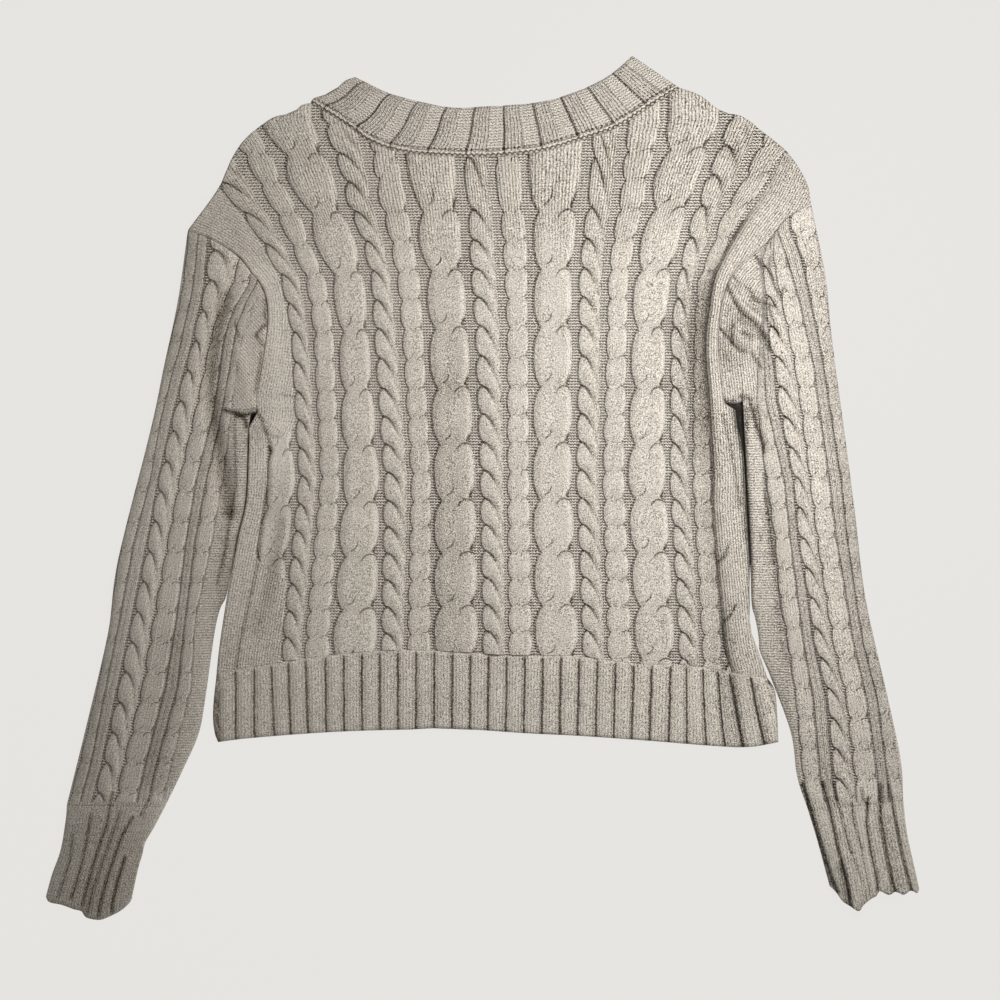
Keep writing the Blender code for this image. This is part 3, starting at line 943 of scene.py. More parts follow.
@grouped("sleeve cables", "across along", "rise crease shade edge purls lines")
def armCables(across, along):
    # From the left: a flat cable, a narrow rib, a rope, a flat cable, a rib and a flat cable,
    # with plain stocking stitch beyond them.
    look = sleeveCables
    cables = [oval(across - lane, along, look["depth"], look["tall"]) for lane in look["ovals"]]
    cables.append(rope((across - look["rope"]) / 0.95, along))
    rises, creases, shades, edges, insides = zip(*cables)
    besideRib = least(*[distance(across - middle) for middle in look["ribs"]])
    ribRise = ease(besideRib, 0.46, 0.3) * (1 - 0.5 * ease(besideRib, 0.12, 0.0))
    ribEdge = ease(distance(besideRib - 0.46), 0.13, 0.03)
    strip = most(ease(across, 1.0, 0.94), ease(across, 7.0, 7.06))
    ovals = rises[0] * insides[0] + rises[1] * insides[1] + rises[2] * insides[2]
    rise = rises[3] * insides[3] + 0.6 * ovals + 0.5 * ribRise + 0.5 * strip
    # Painted shade over the rope and the ovals, and in the groove down the middle of each rib; the edges,
    # those of the ribs too, are dark lines of painted shade.
    shade = shades[3] + 0.5 * (shades[1] + shades[0]) + 0.8 * ease(besideRib, 0.1, 0.0)
    edge = most(*edges, ribEdge * 0.8)
    inside = most(*insides, ease(besideRib, 0.5, 0.46), strip)
    return rise, most(*creases), shade, edge, 1 - inside, 0.7 * ease(besideRib, 0.6, 0.4) + 0.25


bodyWool = cableMaterial("body knit", bodyCables, wales=40, gutterWales=35)
sleeveWool = cableMaterial("sleeve knit", armCables, wales=7, gutterWales=4)

ribLook = {
    "hollow": 0.085,         # share of the grooves in the shape of a rib
    "drawn": 0.095,          # and in its material
    "wale": 2.5,             # size of the stitches
    "row": 2.2,
}


@grouped("rib face", "across away knit holes", "groove height")
def ribFace(across, away, knit, holes):
    # Stocking stitch between grooves darkened with painted shade, each with a soft painted shade on its
    # left. The grooves start a little below the upper edge.
    groove = rib(across, ribLook["drawn"])[1]
    shade = ease(fraction(across), 0.66, 0.97) * 0.36
    shown = ease(away, -1.0, 4.0)
    dark = shown * (0.95 * groove + shade) + (0.08 + 0.3 * shown) * holes * (1 - groove) - 0.06
    return dark, 0.4 * knit - groove * shown


def ribMaterial():
    # Knit wales with a groove from rib to rib, which wander a little from side to side.
    material, tree, across, along, away, run, fold, _ = newWool("rib knit")
    wander = noiseWire(tree, 120, 2.0)
    knit, holes = stitches(run / ribLook["wale"] + 0.8 * wander, along / ribLook["row"])
    woolShader(material, *ribFace(across + 0.10 * wander, away, knit, holes), fold)
    return material


@grouped("wide ribs", "across", "rise groove")
def wideRibs(across):
    # The first half of each repeat is raised and rounded, with a dark line of painted shade down its left
    # side.
    place = fraction(across)
    rise = ease(place, 0.0, 0.06) * ease(place, 0.58, 0.5)
    lines = ease(place, 0.045, 0.01) + ease(place, 0.955, 0.99)
    return rise, lines + 0.5 * ease(distance(place - 0.54), 0.03, 0.01)


neckKnit = {
    "wales": 10.3,           # knit wales and purl columns in a repeat
    "purls": 7.5,
    "row": 2.6,              # height of a knit and of a purl row
    "purlRow": 2.3,
    "chain": 4.4,            # length of a stitch of the chain along the seam
    "hollow": 0.7,           # distances from the seam: of the hollow, the ridge and the second row
    "ridge": 2.8,
    "secondRow": 4.8,
}


def neckMaterial():
    # Wide ribs: knit columns and purl rows in turn. Along the seam a chained ridge lies between
    # a hollow and a second row, both darkened with painted shade.
    material, tree, across, along, away, run, fold, _ = newWool("neck knit")
    rise, groove = wideRibs(across)
    wander = noiseWire(tree, 160, 1.0)
    knit, holes = stitches(across * neckKnit["wales"] + 0.6 * wander, along / neckKnit["row"])
    rows = purl(across * neckKnit["purls"], along / neckKnit["purlRow"] + 0.5 * wander)
    purls = 1 - rise
    dash = 0.5 + 0.5 * wave(run / neckKnit["chain"])
    hollow = ease(distance(away - neckKnit["hollow"] - 1.3 * dash), 1.1, 0.4)
    secondRow = ease(distance(away - neckKnit["secondRow"] - 0.8 * dash), 1.3, 0.4)
    secondRow = secondRow * (0.35 + 0.65 * dash)
    ridge = ease(distance(away - neckKnit["ridge"]), 1.5, 0.5)
    beyond = ease(away, 2.0, 5.0)
    dark = groove * 0.6 + rise * 0.8 * holes + purls * 0.5 * rows
    dark = dark * beyond + most(hollow, secondRow * 0.8) - 0.1
    relief = (0.9 * knit * rise - 0.7 * rows * purls) * beyond + 1.0 * ridge - groove
    woolShader(material, dark, relief, fold)
    return material


ribWool = ribMaterial()
neckWool = neckMaterial()
print("materials done")

backLook = {
    "spacing": 1.45,          # size of the cells of the upper side
    "coarse": 9.0,            # and of the lower side
    "cables": 2.6,            # how high the ropes stand
    "sunk": 0.6,              # how far the gutters lie below the top of the layer
    "foldDepth": 2.4,         # of the long fold
    "foldWidth": 2.2,
    "flat": (0.46, 0.50),
    "area": 0.186,
}

# Folds of the back: heights in millimetres.
backFolds = (
    (34, 2.2, 14, 150, 14, -120),
    (6, -1.4, -166, -30, -176, -90),
    (3, -0.8, 194, 58, 204, -10))

# Painted shade in the creases of the back, and broad painted shades: how dark they are. Those
# below 0 are painted highlights.
backPaintedShade = (
    (1.6, 0.5, 192, 58, 198, 34, 204, -2, 205, -14),
    (1.5, 0.6, -181, 62, -176.5, 54, -173, 44, -170, 35, -168.5, 28),
    (1.5, 0.4, -170, 32, -172, 2, -178, -40, -180, -62, -187, -94, -194, -124, -197, -146),
    (7.0, 0.16, -160, -30, -172, -84, -180, -110),
    (6.0, 0.5, 204, 62, 206, 50, 208.5, 36),
    (3.0, 0.4, 208, 34, 209, 0, 211, -40),
    (26, 0.13, 200, 285, 235, 250),
    (14, -0.10, -184, 20, -184, -20, -196, -100),
    (1.3, 0.75, 202, -94, 199, -101, 194, -107),
    (1.3, 0.7, 196, -47, 194, -54, 189, -60),
    (17, 0.10, -26, 190, -27, 90),
    (17, 0.16, -27, 80, -27, -60, -28, -190),
    (11, -0.24, -176, 170, -166, 140, -163, 100, -161, 62, -166, 20),
    (16, 0.12, 250, 268, 262, 232))


def bodyMaps(x, y):
    # The plain strips lie along the left armhole and side, and on the roll beyond the fold. Their
    # wales follow the edge. Painted shadow darkens the cloth towards the bottom of the fold, most on
    # its left and a little on the roll, and painted shade darkens the openings below the arms.
    leftAway, leftRun = nearLine(x, y, turned(joined(sideLeft, armLeft, skip=0)))
    foldAway, foldRun = nearLine(x, y, backFold)
    foldLine = smooth(backFold, 200)
    beyond = x > np.interp(y, foldLine[:, 1], foldLine[:, 0])
    ropeEdge, wideEdge = [laneAt(y, backCables["edges"], name) for name in ("rope1", "wide0")]
    border = ropeEdge + ease(y, 50, 30) * ease(y, -78, -52) * (wideEdge - ropeEdge)
    plain = np.maximum(ease(x, border + 1, border - 1), beyond)
    seam = pair(np.where(beyond, foldAway, leftAway), np.where(beyond, foldRun, leftRun))
    strength = ease(y, 228, 150)
    deepest = ease(y, 190, 140) * ease(y, 0, 60)
    width = 1.2 + 0.7 * strength * ease(y, -70, 10) + 1.5 * deepest
    # Painted shadow: a dark line in the fold and a soft shade that spreads from it.
    line = 0.95 * bell(foldAway, width) * ease(y, 240, 200)
    inward = (0.5 + 0.4 * deepest) * np.exp(-foldAway / (8.0 + 4.0 * deepest))
    side = np.where(beyond, 0.24 * np.exp(-foldAway / 6.0), inward)
    # Painted shade in the gaps beside the sides, below the arms, then the listed painted shades and
    # highlights.
    gap = np.minimum(1.5 * nearLine(x, y, sideLeft)[0] + 1.5, nearLine(x, y, sideRight)[0])
    dark = np.maximum(line, strength * side) + strokes(x, y, backPaintedShade)
    dark += 0.6 * bell(gap, 2.2) * ease(y, 70, 60) * ease(y, -110, -60)
    return seam, pair(dark, plain)


farAway = 60         # more than the width of any seam


def quietMaps(x, y):
    # Maps of a piece without strips or folds, far from any seam.
    nothing = np.zeros_like(x)
    return pair(nothing + farAway, y), pair(nothing, nothing)


def splitSteps(spacing):
    # Shares across the main part, then across the roll: short steps only at the outer edges.
    main = steps(800, spacing)
    middle = np.searchsorted(main, 0.5)
    roll = steps(60, spacing * 0.75)
    roll = roll[np.searchsorted(roll, 0.5):]
    return main[: middle + 1] / main[middle], (roll - roll[0]) / (1 - roll[0])


def foldedPlan(spacing, v, left, middle, right, feet, tops):
    # Two Coons surfaces side by side, up to the fold and beyond it, and the rise of the roll.
    u, uRoll = splitSteps(spacing)
    main = coons(left, middle, chain((feet[0], 19)), tops[0], u, v)
    beyond = coons(middle, right, chain((feet[1], 4)), tops[1], uRoll, v)
    rise = np.interp(uRoll[1:], np.linspace(0, 1, len(rollRise)), rollRise)
    return np.hstack((main, beyond[:, 1:])), np.concatenate((np.zeros(len(u)), rise))


def bodyPlan(spacing):
    # Points over the back, in plan.
    left = chain((sideLeft, 10), (armLeft, 11))
    right = chain((sideRight, 10), (armRight, 11))
    top = chain((shoulderLeft, 5), (neckSeam, 10), (shoulderRight, 4))
    feet = splitAt(smooth(hemTop, 400), hemFold["x"][0])
    return foldedPlan(spacing, steps(430, spacing), left, chain((backFold, 22)), right, feet,
                      (top, chain((tipRight, 4))))


def lowerSide(plan, rise=0.0):
    # The lower side of a piece that lies on the fronts.
    return withHeight(plan, layers["backTop"] - layers["wall"] + rise)


def makeBack():
    # Height: cables or plain stitches, plus the folds and the roll, less the rounded edges and the
    # groove of the long fold.
    plan, rise = bodyPlan(backLook["spacing"])
    lowPlan, lowRise = bodyPlan(backLook["coarse"])
    x, y = xy(plan)
    pattern = backPattern(x, y)
    seam, paintedShadeAndPlain = bodyMaps(x, y)
    plain = paintedShadeAndPlain[..., 1]
    cables = bodyCables(*xy(pattern))[0] * backLook["cables"]
    surface = cables * (1 - plain) + plain * marginLook["rise"] + strokes(x, y, backFolds)
    surface = surface + layers["backTop"] - backLook["sunk"] + rise
    left, right, _, top = fromEdges(plan)
    surface -= roundedBy(left, 2.2, 0.7 + 0.9 * ease(y, 70, 60) + 1.3 * ease(y, 110, 150))
    surface -= roundedBy(right, 3.0, 0.5 + 2.7 * ease(y, 72, 62)) + roundedBy(top, 1.6, 1.6)
    foldAway = nearLine(x, y, backFold)[0]
    surface -= backLook["foldDepth"] * bell(foldAway, backLook["foldWidth"]) * ease(y, 262, 215)
    maps = (joinMaps(pattern, seam, paintedShadeAndPlain), joinMaps(backPattern(*xy(lowPlan)), *bodyMaps(*xy(lowPlan))))
    piece = panel("backCloth", withHeight(plan, surface), lowerSide(lowPlan, lowRise), maps, bodyWool)
    finishPiece(piece, "back")


hemLook = {
    "spacing": 1.3,
    "coarse": 6.0,
    "rib": 14.5,              # from one groove to the next
    "rise": 1.6,              # from a groove to the top of a column
    "seam": 0.6,              # height of the upper edge above the top of the layer
    "notch": 0.9,             # how far a groove draws the lower edge up
    "flat": (0.45, 0.065),
}

# Where the grooves of the hem begin and end.
hemGrooves = table(
    "groove top foot",
    (-1, -211, -211), (0, -197, -197), (1, -182, -182), (2, -168.5, -166), (3, -155, -153),
    (4, -141, -139), (5, -125, -124.5), (23, 136.5, 134.5), (24, 151.5, 150), (25, 164, 164.5),
    (26, 177, 180), (27, 189, 195), (28, 198, 209), (29, 215, 227), (30, 229, 240))

# Painted shade in the fold and at the sides of the hem: how dark it is.
hemPaintedShade = (
    (2.2, 0.5, 199, -146, 203, -166, 206, -186, 210, -208),
    (7.0, 0.22, 192, -148, 198, -186, 201, -207),
    (3.5, 0.3, 219, -160, 224, -186, 229, -207),
    (5.0, 0.25, -212, -166, -213, -186, -210, -204))


def hemPlan(spacing):
    # Points over the hem of the back, in plan, how high its roll rises, and how many ribs lie to
    # the left of each point.
    left, middle, right = [chain((smooth(edge, 3 * curveSteps + 1)[::-1], 3))
                           for edge in (hemSideLeft, hemFold, hemSideRight)]
    v = steps(56, spacing)
    upper = smooth(hemTop, 400) - np.array((0, layers["gap"]))
    tops = [chain((part, cells)) for part, cells in zip(splitAt(upper, hemFold["x"][0]), (19, 4))]
    feet = splitAt(smooth(hemFoot, 400), hemFold["x"][-1])
    plan, rise = foldedPlan(spacing, v, left, middle, right, feet, tops)
    share = v[:, None]
    fade = np.linspace(0.5, 1, len(v))[:, None]
    foot, top = [np.interp(plan[..., 0], hemGrooves[end], hemGrooves["groove"])
                 for end in ("foot", "top")]
    return plan, fade * rise, foot * (1 - share) + top * share


def makeHem():
    # Height: rounded columns below a plain upper edge, less the rounded edges. The lower edge is
    # drawn up at each groove.
    plan, rise, ribs = hemPlan(hemLook["spacing"])
    lowPlan, lowRise, lowRibs = hemPlan(hemLook["coarse"])
    height, groove = rib(ribs, ribLook["hollow"])
    left, right, bottom, top = fromEdges(plan)
    plan[..., 1] += hemLook["notch"] * groove * ease(bottom, 6.0, 0.0)
    ribbed = ease(top, 0.0, 9.0)
    surface = layers["backTop"] + hemLook["seam"] - ribbed + rise
    surface += hemLook["rise"] * (height - 0.5) * ribbed
    surface -= roundedBy(left, 2.5, 2.6) + roundedBy(right, 2.5, 2.6) + roundedBy(bottom, 3.0, 3.0)
    maps = []
    for across, points in ((ribs, plan), (lowRibs, lowPlan)):
        x, y = xy(points)
        seam = pair(fromEdges(points)[3], across * hemLook["rib"])
        paintedShadeAndPlain = pair(strokes(x, y, hemPaintedShade), np.zeros_like(x))
        maps.append(joinMaps(pair(across, y), seam, paintedShadeAndPlain))
    piece = panel("hemCloth", withHeight(plan, surface), lowerSide(lowPlan, lowRise), maps, ribWool)
    finishPiece(piece, "hem_back")


neckLook = {
    "spacing": 1.25,
    "coarse": 6.0,
    "rib": 31.0,              # from one knit column to the next
    "start": -0.37,           # of the first column, in ribs
    "rise": 1.6,
    "sunk": 0.4,              # how far the purl rows lie below the top of the layer
    "ridge": 0.9,             # height of the ridge along the seam
    "flat": (0.32, 0.045),
}


def neckPlan(spacing):
    # Points over the neckband, in plan, and how many ribs lie to the left of each point.
    seam = smooth(neckSeam, 300)
    u = steps(320, spacing)
    lower = chain((aside(seam, -layers["gap"]), 10))
    upper = chain((neckTop, 10))
    right = chain((np.linspace(lower[1][-1], upper[1][-1], 3), 2))
    plan = coons(chain((neckLeft, 2)), right, lower, upper, u, steps(38, spacing))
    length = lengthAlong(seam)[-1]
    ribs = np.broadcast_to(u * length / neckLook["rib"] + neckLook["start"], plan.shape[:2])
    return plan, ribs


def makeNeckband():
    # Height: wide ribs and a ridge along the seam, less the rounded edges.
    plan, ribs = neckPlan(neckLook["spacing"])
    lowPlan, lowRibs = neckPlan(neckLook["coarse"])
    left, right, bottom, top = fromEdges(plan)
    columns = neckLook["rise"] * wideRibs(ribs)[0] * ease(bottom, 2.0, 5.0)
    surface = layers["backTop"] - neckLook["sunk"] + columns
    surface = surface + neckLook["ridge"] * ease(np.abs(bottom - 2.6), 2.4, 0.2)
    surface -= roundedBy(top, 3.5, 3.0) + roundedBy(bottom, 1.0, 1.0)
    surface -= roundedBy(left, 2.0, 2.5) + roundedBy(right, 2.0, 2.5)
    maps = []
    for across, away in ((ribs, bottom), (lowRibs, fromEdges(lowPlan)[2])):
        seam = pair(away, across * neckLook["rib"])
        maps.append(joinMaps(pair(across, away), seam, np.zeros_like(seam)))
    piece = panel("neckbandCloth", withHeight(plan, surface), lowerSide(lowPlan), maps, neckWool)
    finishPiece(piece, "neckband")


frontLook = {
    "spacing": 2.2,
    "coarse": 11.0,
    "relief": 1.1,            # depth of the gutters in the face that lies on the table
    "dark": 1.8,              # painted shadow on the inside of the armpits
    "darkFrom": {"left": 38, "right": -50},   # the height where it begins
    "flat": (0.22, 0.48),
    "area": 0.061,
    "hemFlat": (0.19, 0.065),
    "bandFlat": (0.045, 0.56),
    "bandArea": 0.020,
}

# The parts of a front: name, start of the node's name, slot, material, keys of its flat size and area.
frontParts = (
    ("front", "front_", "cable_knit", bodyWool, "flat", "area"),
    ("hemFront", "hem_front_", "rib_knit", ribWool, "hemFlat", None),
    ("band", "band_", "rib_knit", neckWool, "bandFlat", "bandArea"))


def evenly(line, start, end):
    # Points on a line at even steps from one x to another.
    x = np.linspace(start, end, 60)
    return pair(x, np.interp(x, line[:, 0], line[:, 1]))


def frontPlans(side, sign, spacing):
    # The front, its hem rib and its band, in plan. Each is a Coons surface with its rows upwards.
    edges = sides[side]
    end = smooth(hemFoot, 400)
    near, far = edges["side"]["x"][0], edges["bandOuter"]["x"][0]
    footLine = evenly(smooth(hemTop, 400), near, far)
    endLine = evenly(end, edges["hemSide"]["x"][-1], far)
    u = steps(abs(far - near), spacing)
    front = coons(chain((edges["under"], 21)), chain((edges["bandOuter"], 22)), chain((footLine, 6)),
                  chain((edges["shoulder"], 6)), u, steps(430, spacing))

    hemLine = footLine - np.array((0, layers["gap"]))
    hemSide = chain((smooth(edges["hemSide"], 60)[::-1], 3))
    hemInner = chain((np.linspace(endLine[-1], hemLine[-1], 10), 3))
    hem = coons(hemSide, hemInner, chain((endLine, 6)), chain((hemLine, 6)), u, steps(56, spacing))

    outer, inner = smooth(edges["bandOuter"], 300), smooth(edges["bandInner"], 300)
    innerFoot = (inner[0, 0], np.interp(inner[0, 0], end[:, 0], end[:, 1]))
    outer = np.vstack((np.linspace(endLine[-1], footLine[-1], 20), outer[1:]))
    outer = aside(outer, -sign * layers["gap"])
    inner = np.vstack((np.linspace(innerFoot, inner[0], 20), inner[1:]))
    places = np.concatenate((np.linspace(0, 0.12, 20), np.linspace(0.12, 1, 300)[1:]))
    bottom, top = [chain((np.linspace(outer[k], inner[k], 3), 2)) for k in (0, -1)]
    band = coons((places, outer), (places, inner), bottom, top, steps(40, spacing), steps(560, spacing))
    return front, hem, band


def frontMaps(name, side, points, inside):
    # The maps of one part. Near the armpit, where a gap shows it, the inside of the front is painted
    # dark, as painted shadow.
    x, y = xy(points)
    seam, paintedShadeAndPlain = quietMaps(x, y)
    if name == "band":
        away = fromEdges(points)[0]
        return pair(y / neckLook["rib"], away), pair(away + farAway, y), paintedShadeAndPlain
    if name == "hemFront":
        return pair(x / hemLook["rib"], y), pair(seam[..., 0], x), paintedShadeAndPlain
    if inside:
        start = frontLook["darkFrom"][side]
        near = ease(y, start - 20, start) * ease(y, 120, 95)
        paintedShadeAndPlain[..., 0] = frontLook["dark"] * ease(fromEdges(points)[0], 30, 18) * near
    return backPattern(-x, y), seam, paintedShadeAndPlain


def frontHeight(name, across, along):
    # How high the pattern of one part stands, from 0 to 1.
    if name == "front":
        return bodyCables(across, along)[0]
    return wideRibs(across)[0] if name == "band" else rib(across, ribLook["hollow"])[0]


def makeFront(side, sign):
    # The face that shows on the garment lies down, pressed flat, with its gutters as its relief.
    fine = frontPlans(side, sign, frontLook["spacing"])
    coarse = frontPlans(side, sign, frontLook["coarse"])
    turn = slice(None, None, -1 if sign > 0 else 1)
    for (name, node, slotName, material, flat, area), plan, lowPlan in zip(frontParts, fine, coarse):
        grids = [frontMaps(name, side, plan, False), frontMaps(name, side, lowPlan, True)]
        height = frontHeight(name, *xy(grids[0][0]))
        relief = frontLook["relief"] * (1 - np.clip(height, 0, 1))
        away = fromEdges(plan)
        for edge in away[1:] if name == "front" else away:
            relief = np.maximum(relief, roundedBy(edge, 1.6, 1.5))
        top = np.full(lowPlan.shape[:2], layers["wall"])
        if name == "front":
            relief *= ease(away[0], 1.0, 4.0)
            top -= roundedBy(fromEdges(lowPlan)[0], 4.0, 2.4)
        maps = [joinMaps(*[part[:, turn] for part in grid]) for grid in grids]
        piece = panel(name + side.capitalize() + "Cloth", withHeight(plan, relief)[:, turn],
                      withHeight(lowPlan, top)[:, turn], maps, material, fineBelow=True)
        finishPiece(piece, node + side)


sleeveLook = {
    "spacing": 1.05,
    "length": 470,            # both set the number of cells
    "width": 90,
    "crown": 9.0,             # height of the middle of the sleeve
    "mouth": 0.12,            # how far the inner wall stands back from the edges at the armhole
    "headRound": (4.0, 1.4),  # width and drop of the rounded ends
    "footRound": (0.6, 0.05),
    "cables": 2.4,
    "plain": 0.5,             # height of the plain stitches, as a share of the cables
    "groove": 1.5,            # depth of the grooves of the cuff
    "gapDark": {"left": 0.2, "right": 0.6},   # painted shade of the edge beside the body
    "flat": (0.20, 0.50),
    "area": 0.08,
}

cuffLook = {
    "spacing": 1.1,
    "length": 80,
    "width": 76,
    "crown": 9.0,
    "mouth": 0.0,
    "headRound": (0.6, 0.05),
    "footRound": (3.0, 3.0),
    "rib": 12.6,
    "swell": 1.2,             # how far the ribs stand above the dome
    "flat": (0.15, 0.09),
    "area": None,
}

tubeLook = {
    "edge": 4.0,              # height of the edges of a flattened tube
    "inset": 3.0,             # of the inner wall from the edges
    "rows": 24,               # of points of the inner wall
    "fade": 4.0,              # width over which the relief fades at the edges
}

# Folds of the sleeves: heights in millimetres.
sleeveFolds = (
    (7, -4.0, -206, 152, -214, 118, -217, 86, -215, 54, -209, 20, -205, -4, -203, -20),
    (6, 1.5, -196, 116, -190, 90, -188, 72),
    (3.2, 3.0, 199, 162, 204, 152, 209, 144, 216, 138, 224, 132, 228, 124, 230, 114),
    (2.6, -3.0, 201, 148, 208, 139, 216, 133, 223, 127),
    (5, 4.0, 203, 126, 208, 117),
    (3.4, 2.6, 206, 130, 212, 129, 218, 122, 216, 114),
    (2.4, -2.6, 189, 128, 196, 120, 200, 115, 206, 109, 210, 109),
    (2.2, -1.6, 211, 121, 213, 117),
    (2.4, -1.4, 214, 157, 217, 151, 226, 146, 234, 145),
    (8, -1.8, 196, 104, 202, 96),
    (7, 2.0, 206, 96, 208, 80),
    (2.5, -2.0, 213, 70, 216, 62, 218.5, 50, 221.5, 43, 225, 30),
    (9, 1.5, 238, 150, 246, 60))

# Grooves between the ribs of the cuffs, darkened with painted shade: how dark they are; the
# same numbers sink them. Wide rows are broad painted shades, and those below 0 painted highlights.
# They start on the sleeve.
cuffGrooves = (
    (1.8, 1.1, 256, -238, 264, -262, 272, -290, 280, -314, 284, -324),
    (4.5, 0.61, 258, -256, 266, -284, 276, -318),
    (1.5, 1.16, 272, -236, 278, -260, 284, -288, 291, -314, 295, -336),
    (3.6, 0.49, 286, -302, 290, -320, 292, -334),
    (1.2, 0.67, 280, -236, 285, -256, 290, -276, 295, -292),
    (1.2, 0.37, 295, -292, 300, -306, 304, -318, 307, -328),
    (1.2, 0.79, 295, -253, 298, -272, 303, -288),
    (1.2, 0.49, 303, -288, 307, -310, 310, -324),
    (1.4, 1.04, 308, -248, 307, -268, 310, -290, 315, -312, 316, -322),
    (1.9, 0.98, 318, -238, 318, -266, 322, -288, 328, -318, 330, -323),
    (4.0, 0.2, 323, -266, 328, -296, 333, -318),
    (1.3, 1.16, 325, -238, 329, -260, 336, -296, 342, -318, 343, -323),
    (1.3, 0.73, 303, -240, 304, -249, 308, -254),
    (1.5, 0.35, -328, -278, -330, -298, -335, -314, -340, -328),
    (1.5, 0.42, -313, -262, -317, -284, -321, -302, -326, -320, -329, -328),
    (1.4, 0.45, -296, -244, -300, -268, -307, -288, -312, -304, -320, -334),
    (1.7, 0.32, -290, -260, -297, -280, -304, -300, -311, -320, -316, -340),
    (1.5, 0.49, -280, -264, -289, -280, -294, -294, -300, -312, -305, -330, -307, -342),
    (1.4, 0.35, -267, -250, -273, -262),
    (1.5, 0.59, -286, -296, -291, -312, -296, -332, -296, -339),
    (3.0, 0.17, -273, -290, -277, -306, -281, -326),
    (34, 0.20, -300, -284, -312, -330),
    (9.0, -0.13, 266, -243, 334, -240),
    (9.0, -0.10, -258, -247, -330, -247),
    (5.0, -0.12, 300, -262, 312, -318),
    (5.0, -0.10, 264, -236, 284, -300))

# Painted shade in the creases of the sleeves, and broad painted shades: how dark they are. Those
# below 0 are painted highlights.
sleevePaintedShade = (
    (1.5, 0.5, -176, 160, -173, 156, -173, 146, -174, 136, -171, 132),
    (1.5, 0.6, -172, 131, -176, 128, -181, 122),
    (1.5, 0.5, -180, 120, -176, 115, -172, 110),
    (1.5, 0.4, -176, 108, -179, 92, -182, 76),
    (2.0, 0.7, -206, 62, -198, 59.5, -192, 58, -186, 58.5, -181, 59),
    (2.0, 0.6, -196, 57.5, -191, 56, -188.5, 49),
    (1.6, 0.35, -198, 56, -197, 2, -206, -52, -212, -76),
    (1.5, 0.4, -198, 132, -196, 126, -194, 120),
    (5.5, 0.42, -206, 152, -214, 118, -217, 86, -215, 54, -209, 20, -205, -4, -203, -20),
    (6.0, 0.2, -203, -20, -207, -80, -214, -130),
    (1.2, 0.7, 201, 168, 207, 162, 213, 159, 217, 151, 226, 147, 234, 145),
    (4.0, 0.25, 215, 150, 224, 142),
    (1.2, 0.8, 217, 186, 221, 181, 225, 176),
    (1.2, 0.65, 230, 184, 229, 175, 232, 166, 235, 158, 238, 152, 241, 160),
    (1.0, 0.5, 201, 163, 207, 151, 212, 145, 219, 140, 227, 134),
    (1.3, 0.9, 196, 160, 201, 149, 207, 140, 215, 134, 221, 128, 226, 120, 229, 110),
    (4.0, 0.42, 206, 134, 214, 128, 222, 121),
    (1.2, 0.75, 229, 144, 232, 132, 236, 122),
    (1.2, 0.85, 189, 128, 196, 120, 200, 115, 206, 109, 210, 109),
    (1.2, 0.7, 200, 130, 199, 124, 200, 116),
    (3.0, 0.5, 209, 124, 214, 120),
    (1.2, 0.8, 215, 108, 218, 102, 223, 96),
    (1.6, -0.3, 203, 156, 209, 146, 217, 138, 225, 131, 229, 122),
    (2.2, -0.25, 205, 129, 212, 127, 217, 120, 217, 112),
    (2.6, -0.2, 222, 158, 229, 155),
    (7.0, 0.2, 192, 106, 203, 98),
    (1.6, 0.7, 192, 72, 196, 69, 202, 69),
    (1.8, 0.8, 207, 72.5, 213, 71, 216, 62, 218.5, 50, 221.5, 43, 224, 35, 225, 28),
    (3.0, 0.3, 218, 60, 222, 44, 226, 34),
    (1.4, 0.5, 226, 10, 226, -6, 229, -26, 233, -60),
    (3.0, 0.22, 226, 10, 229, -30, 233, -60, 237, -95, 243, -138),
    (9.0, 0.16, 229, -20, 244, -190),
    (14.0, 0.10, -246, -120, -262, -230),
    (26.0, -0.08, -262, 60, -274, -40, -292, -120),
    (5.0, 0.15, 196, 140, 194, 110, 196, 85),
    (14.0, 0.10, 205, 150, 210, 110),
    (3.0, -0.15, 220, 20, 222, -30),
    (12.0, 0.14, 262, 190, 280, 110, 296, -20, 318, -150))


def tubeGrids(edges, look):
    # The upper side and the underside of a tube, in plan, and its inner wall, each with its shares
    # across. Near the head the inner wall stands further back from the edges.
    v = steps(look["length"], look["spacing"])
    u = steps(look["width"], look["spacing"])
    under = 0.5 - 0.5 * np.cos(np.linspace(0, np.pi, len(u) // 2))
    around = np.concatenate((u, under[-2:0:-1]))
    rows = np.concatenate((v[:1], np.linspace(0.02, 0.98, tubeLook["rows"]), v[-1:]))

    def setBack(inset):
        return coons(*edges, inset + (1 - 2 * inset) * around, rows)

    inset = tubeLook["inset"] / look["width"]
    lining = setBack(inset)
    lining += ease(rows, 0.15, 0.03)[:, None, None] * (setBack(inset + look["mouth"]) - lining)
    side = np.concatenate((np.ones(len(u)), -np.ones(len(under) - 2)))
    bulge = np.sqrt(np.maximum(1 - np.abs(2 * around - 1) ** 6, 0))
    lining = withHeight(lining, tubeLook["edge"] + side * bulge)
    return (coons(*edges, u, v), u), (coons(*edges, under, v), under), (lining, around)


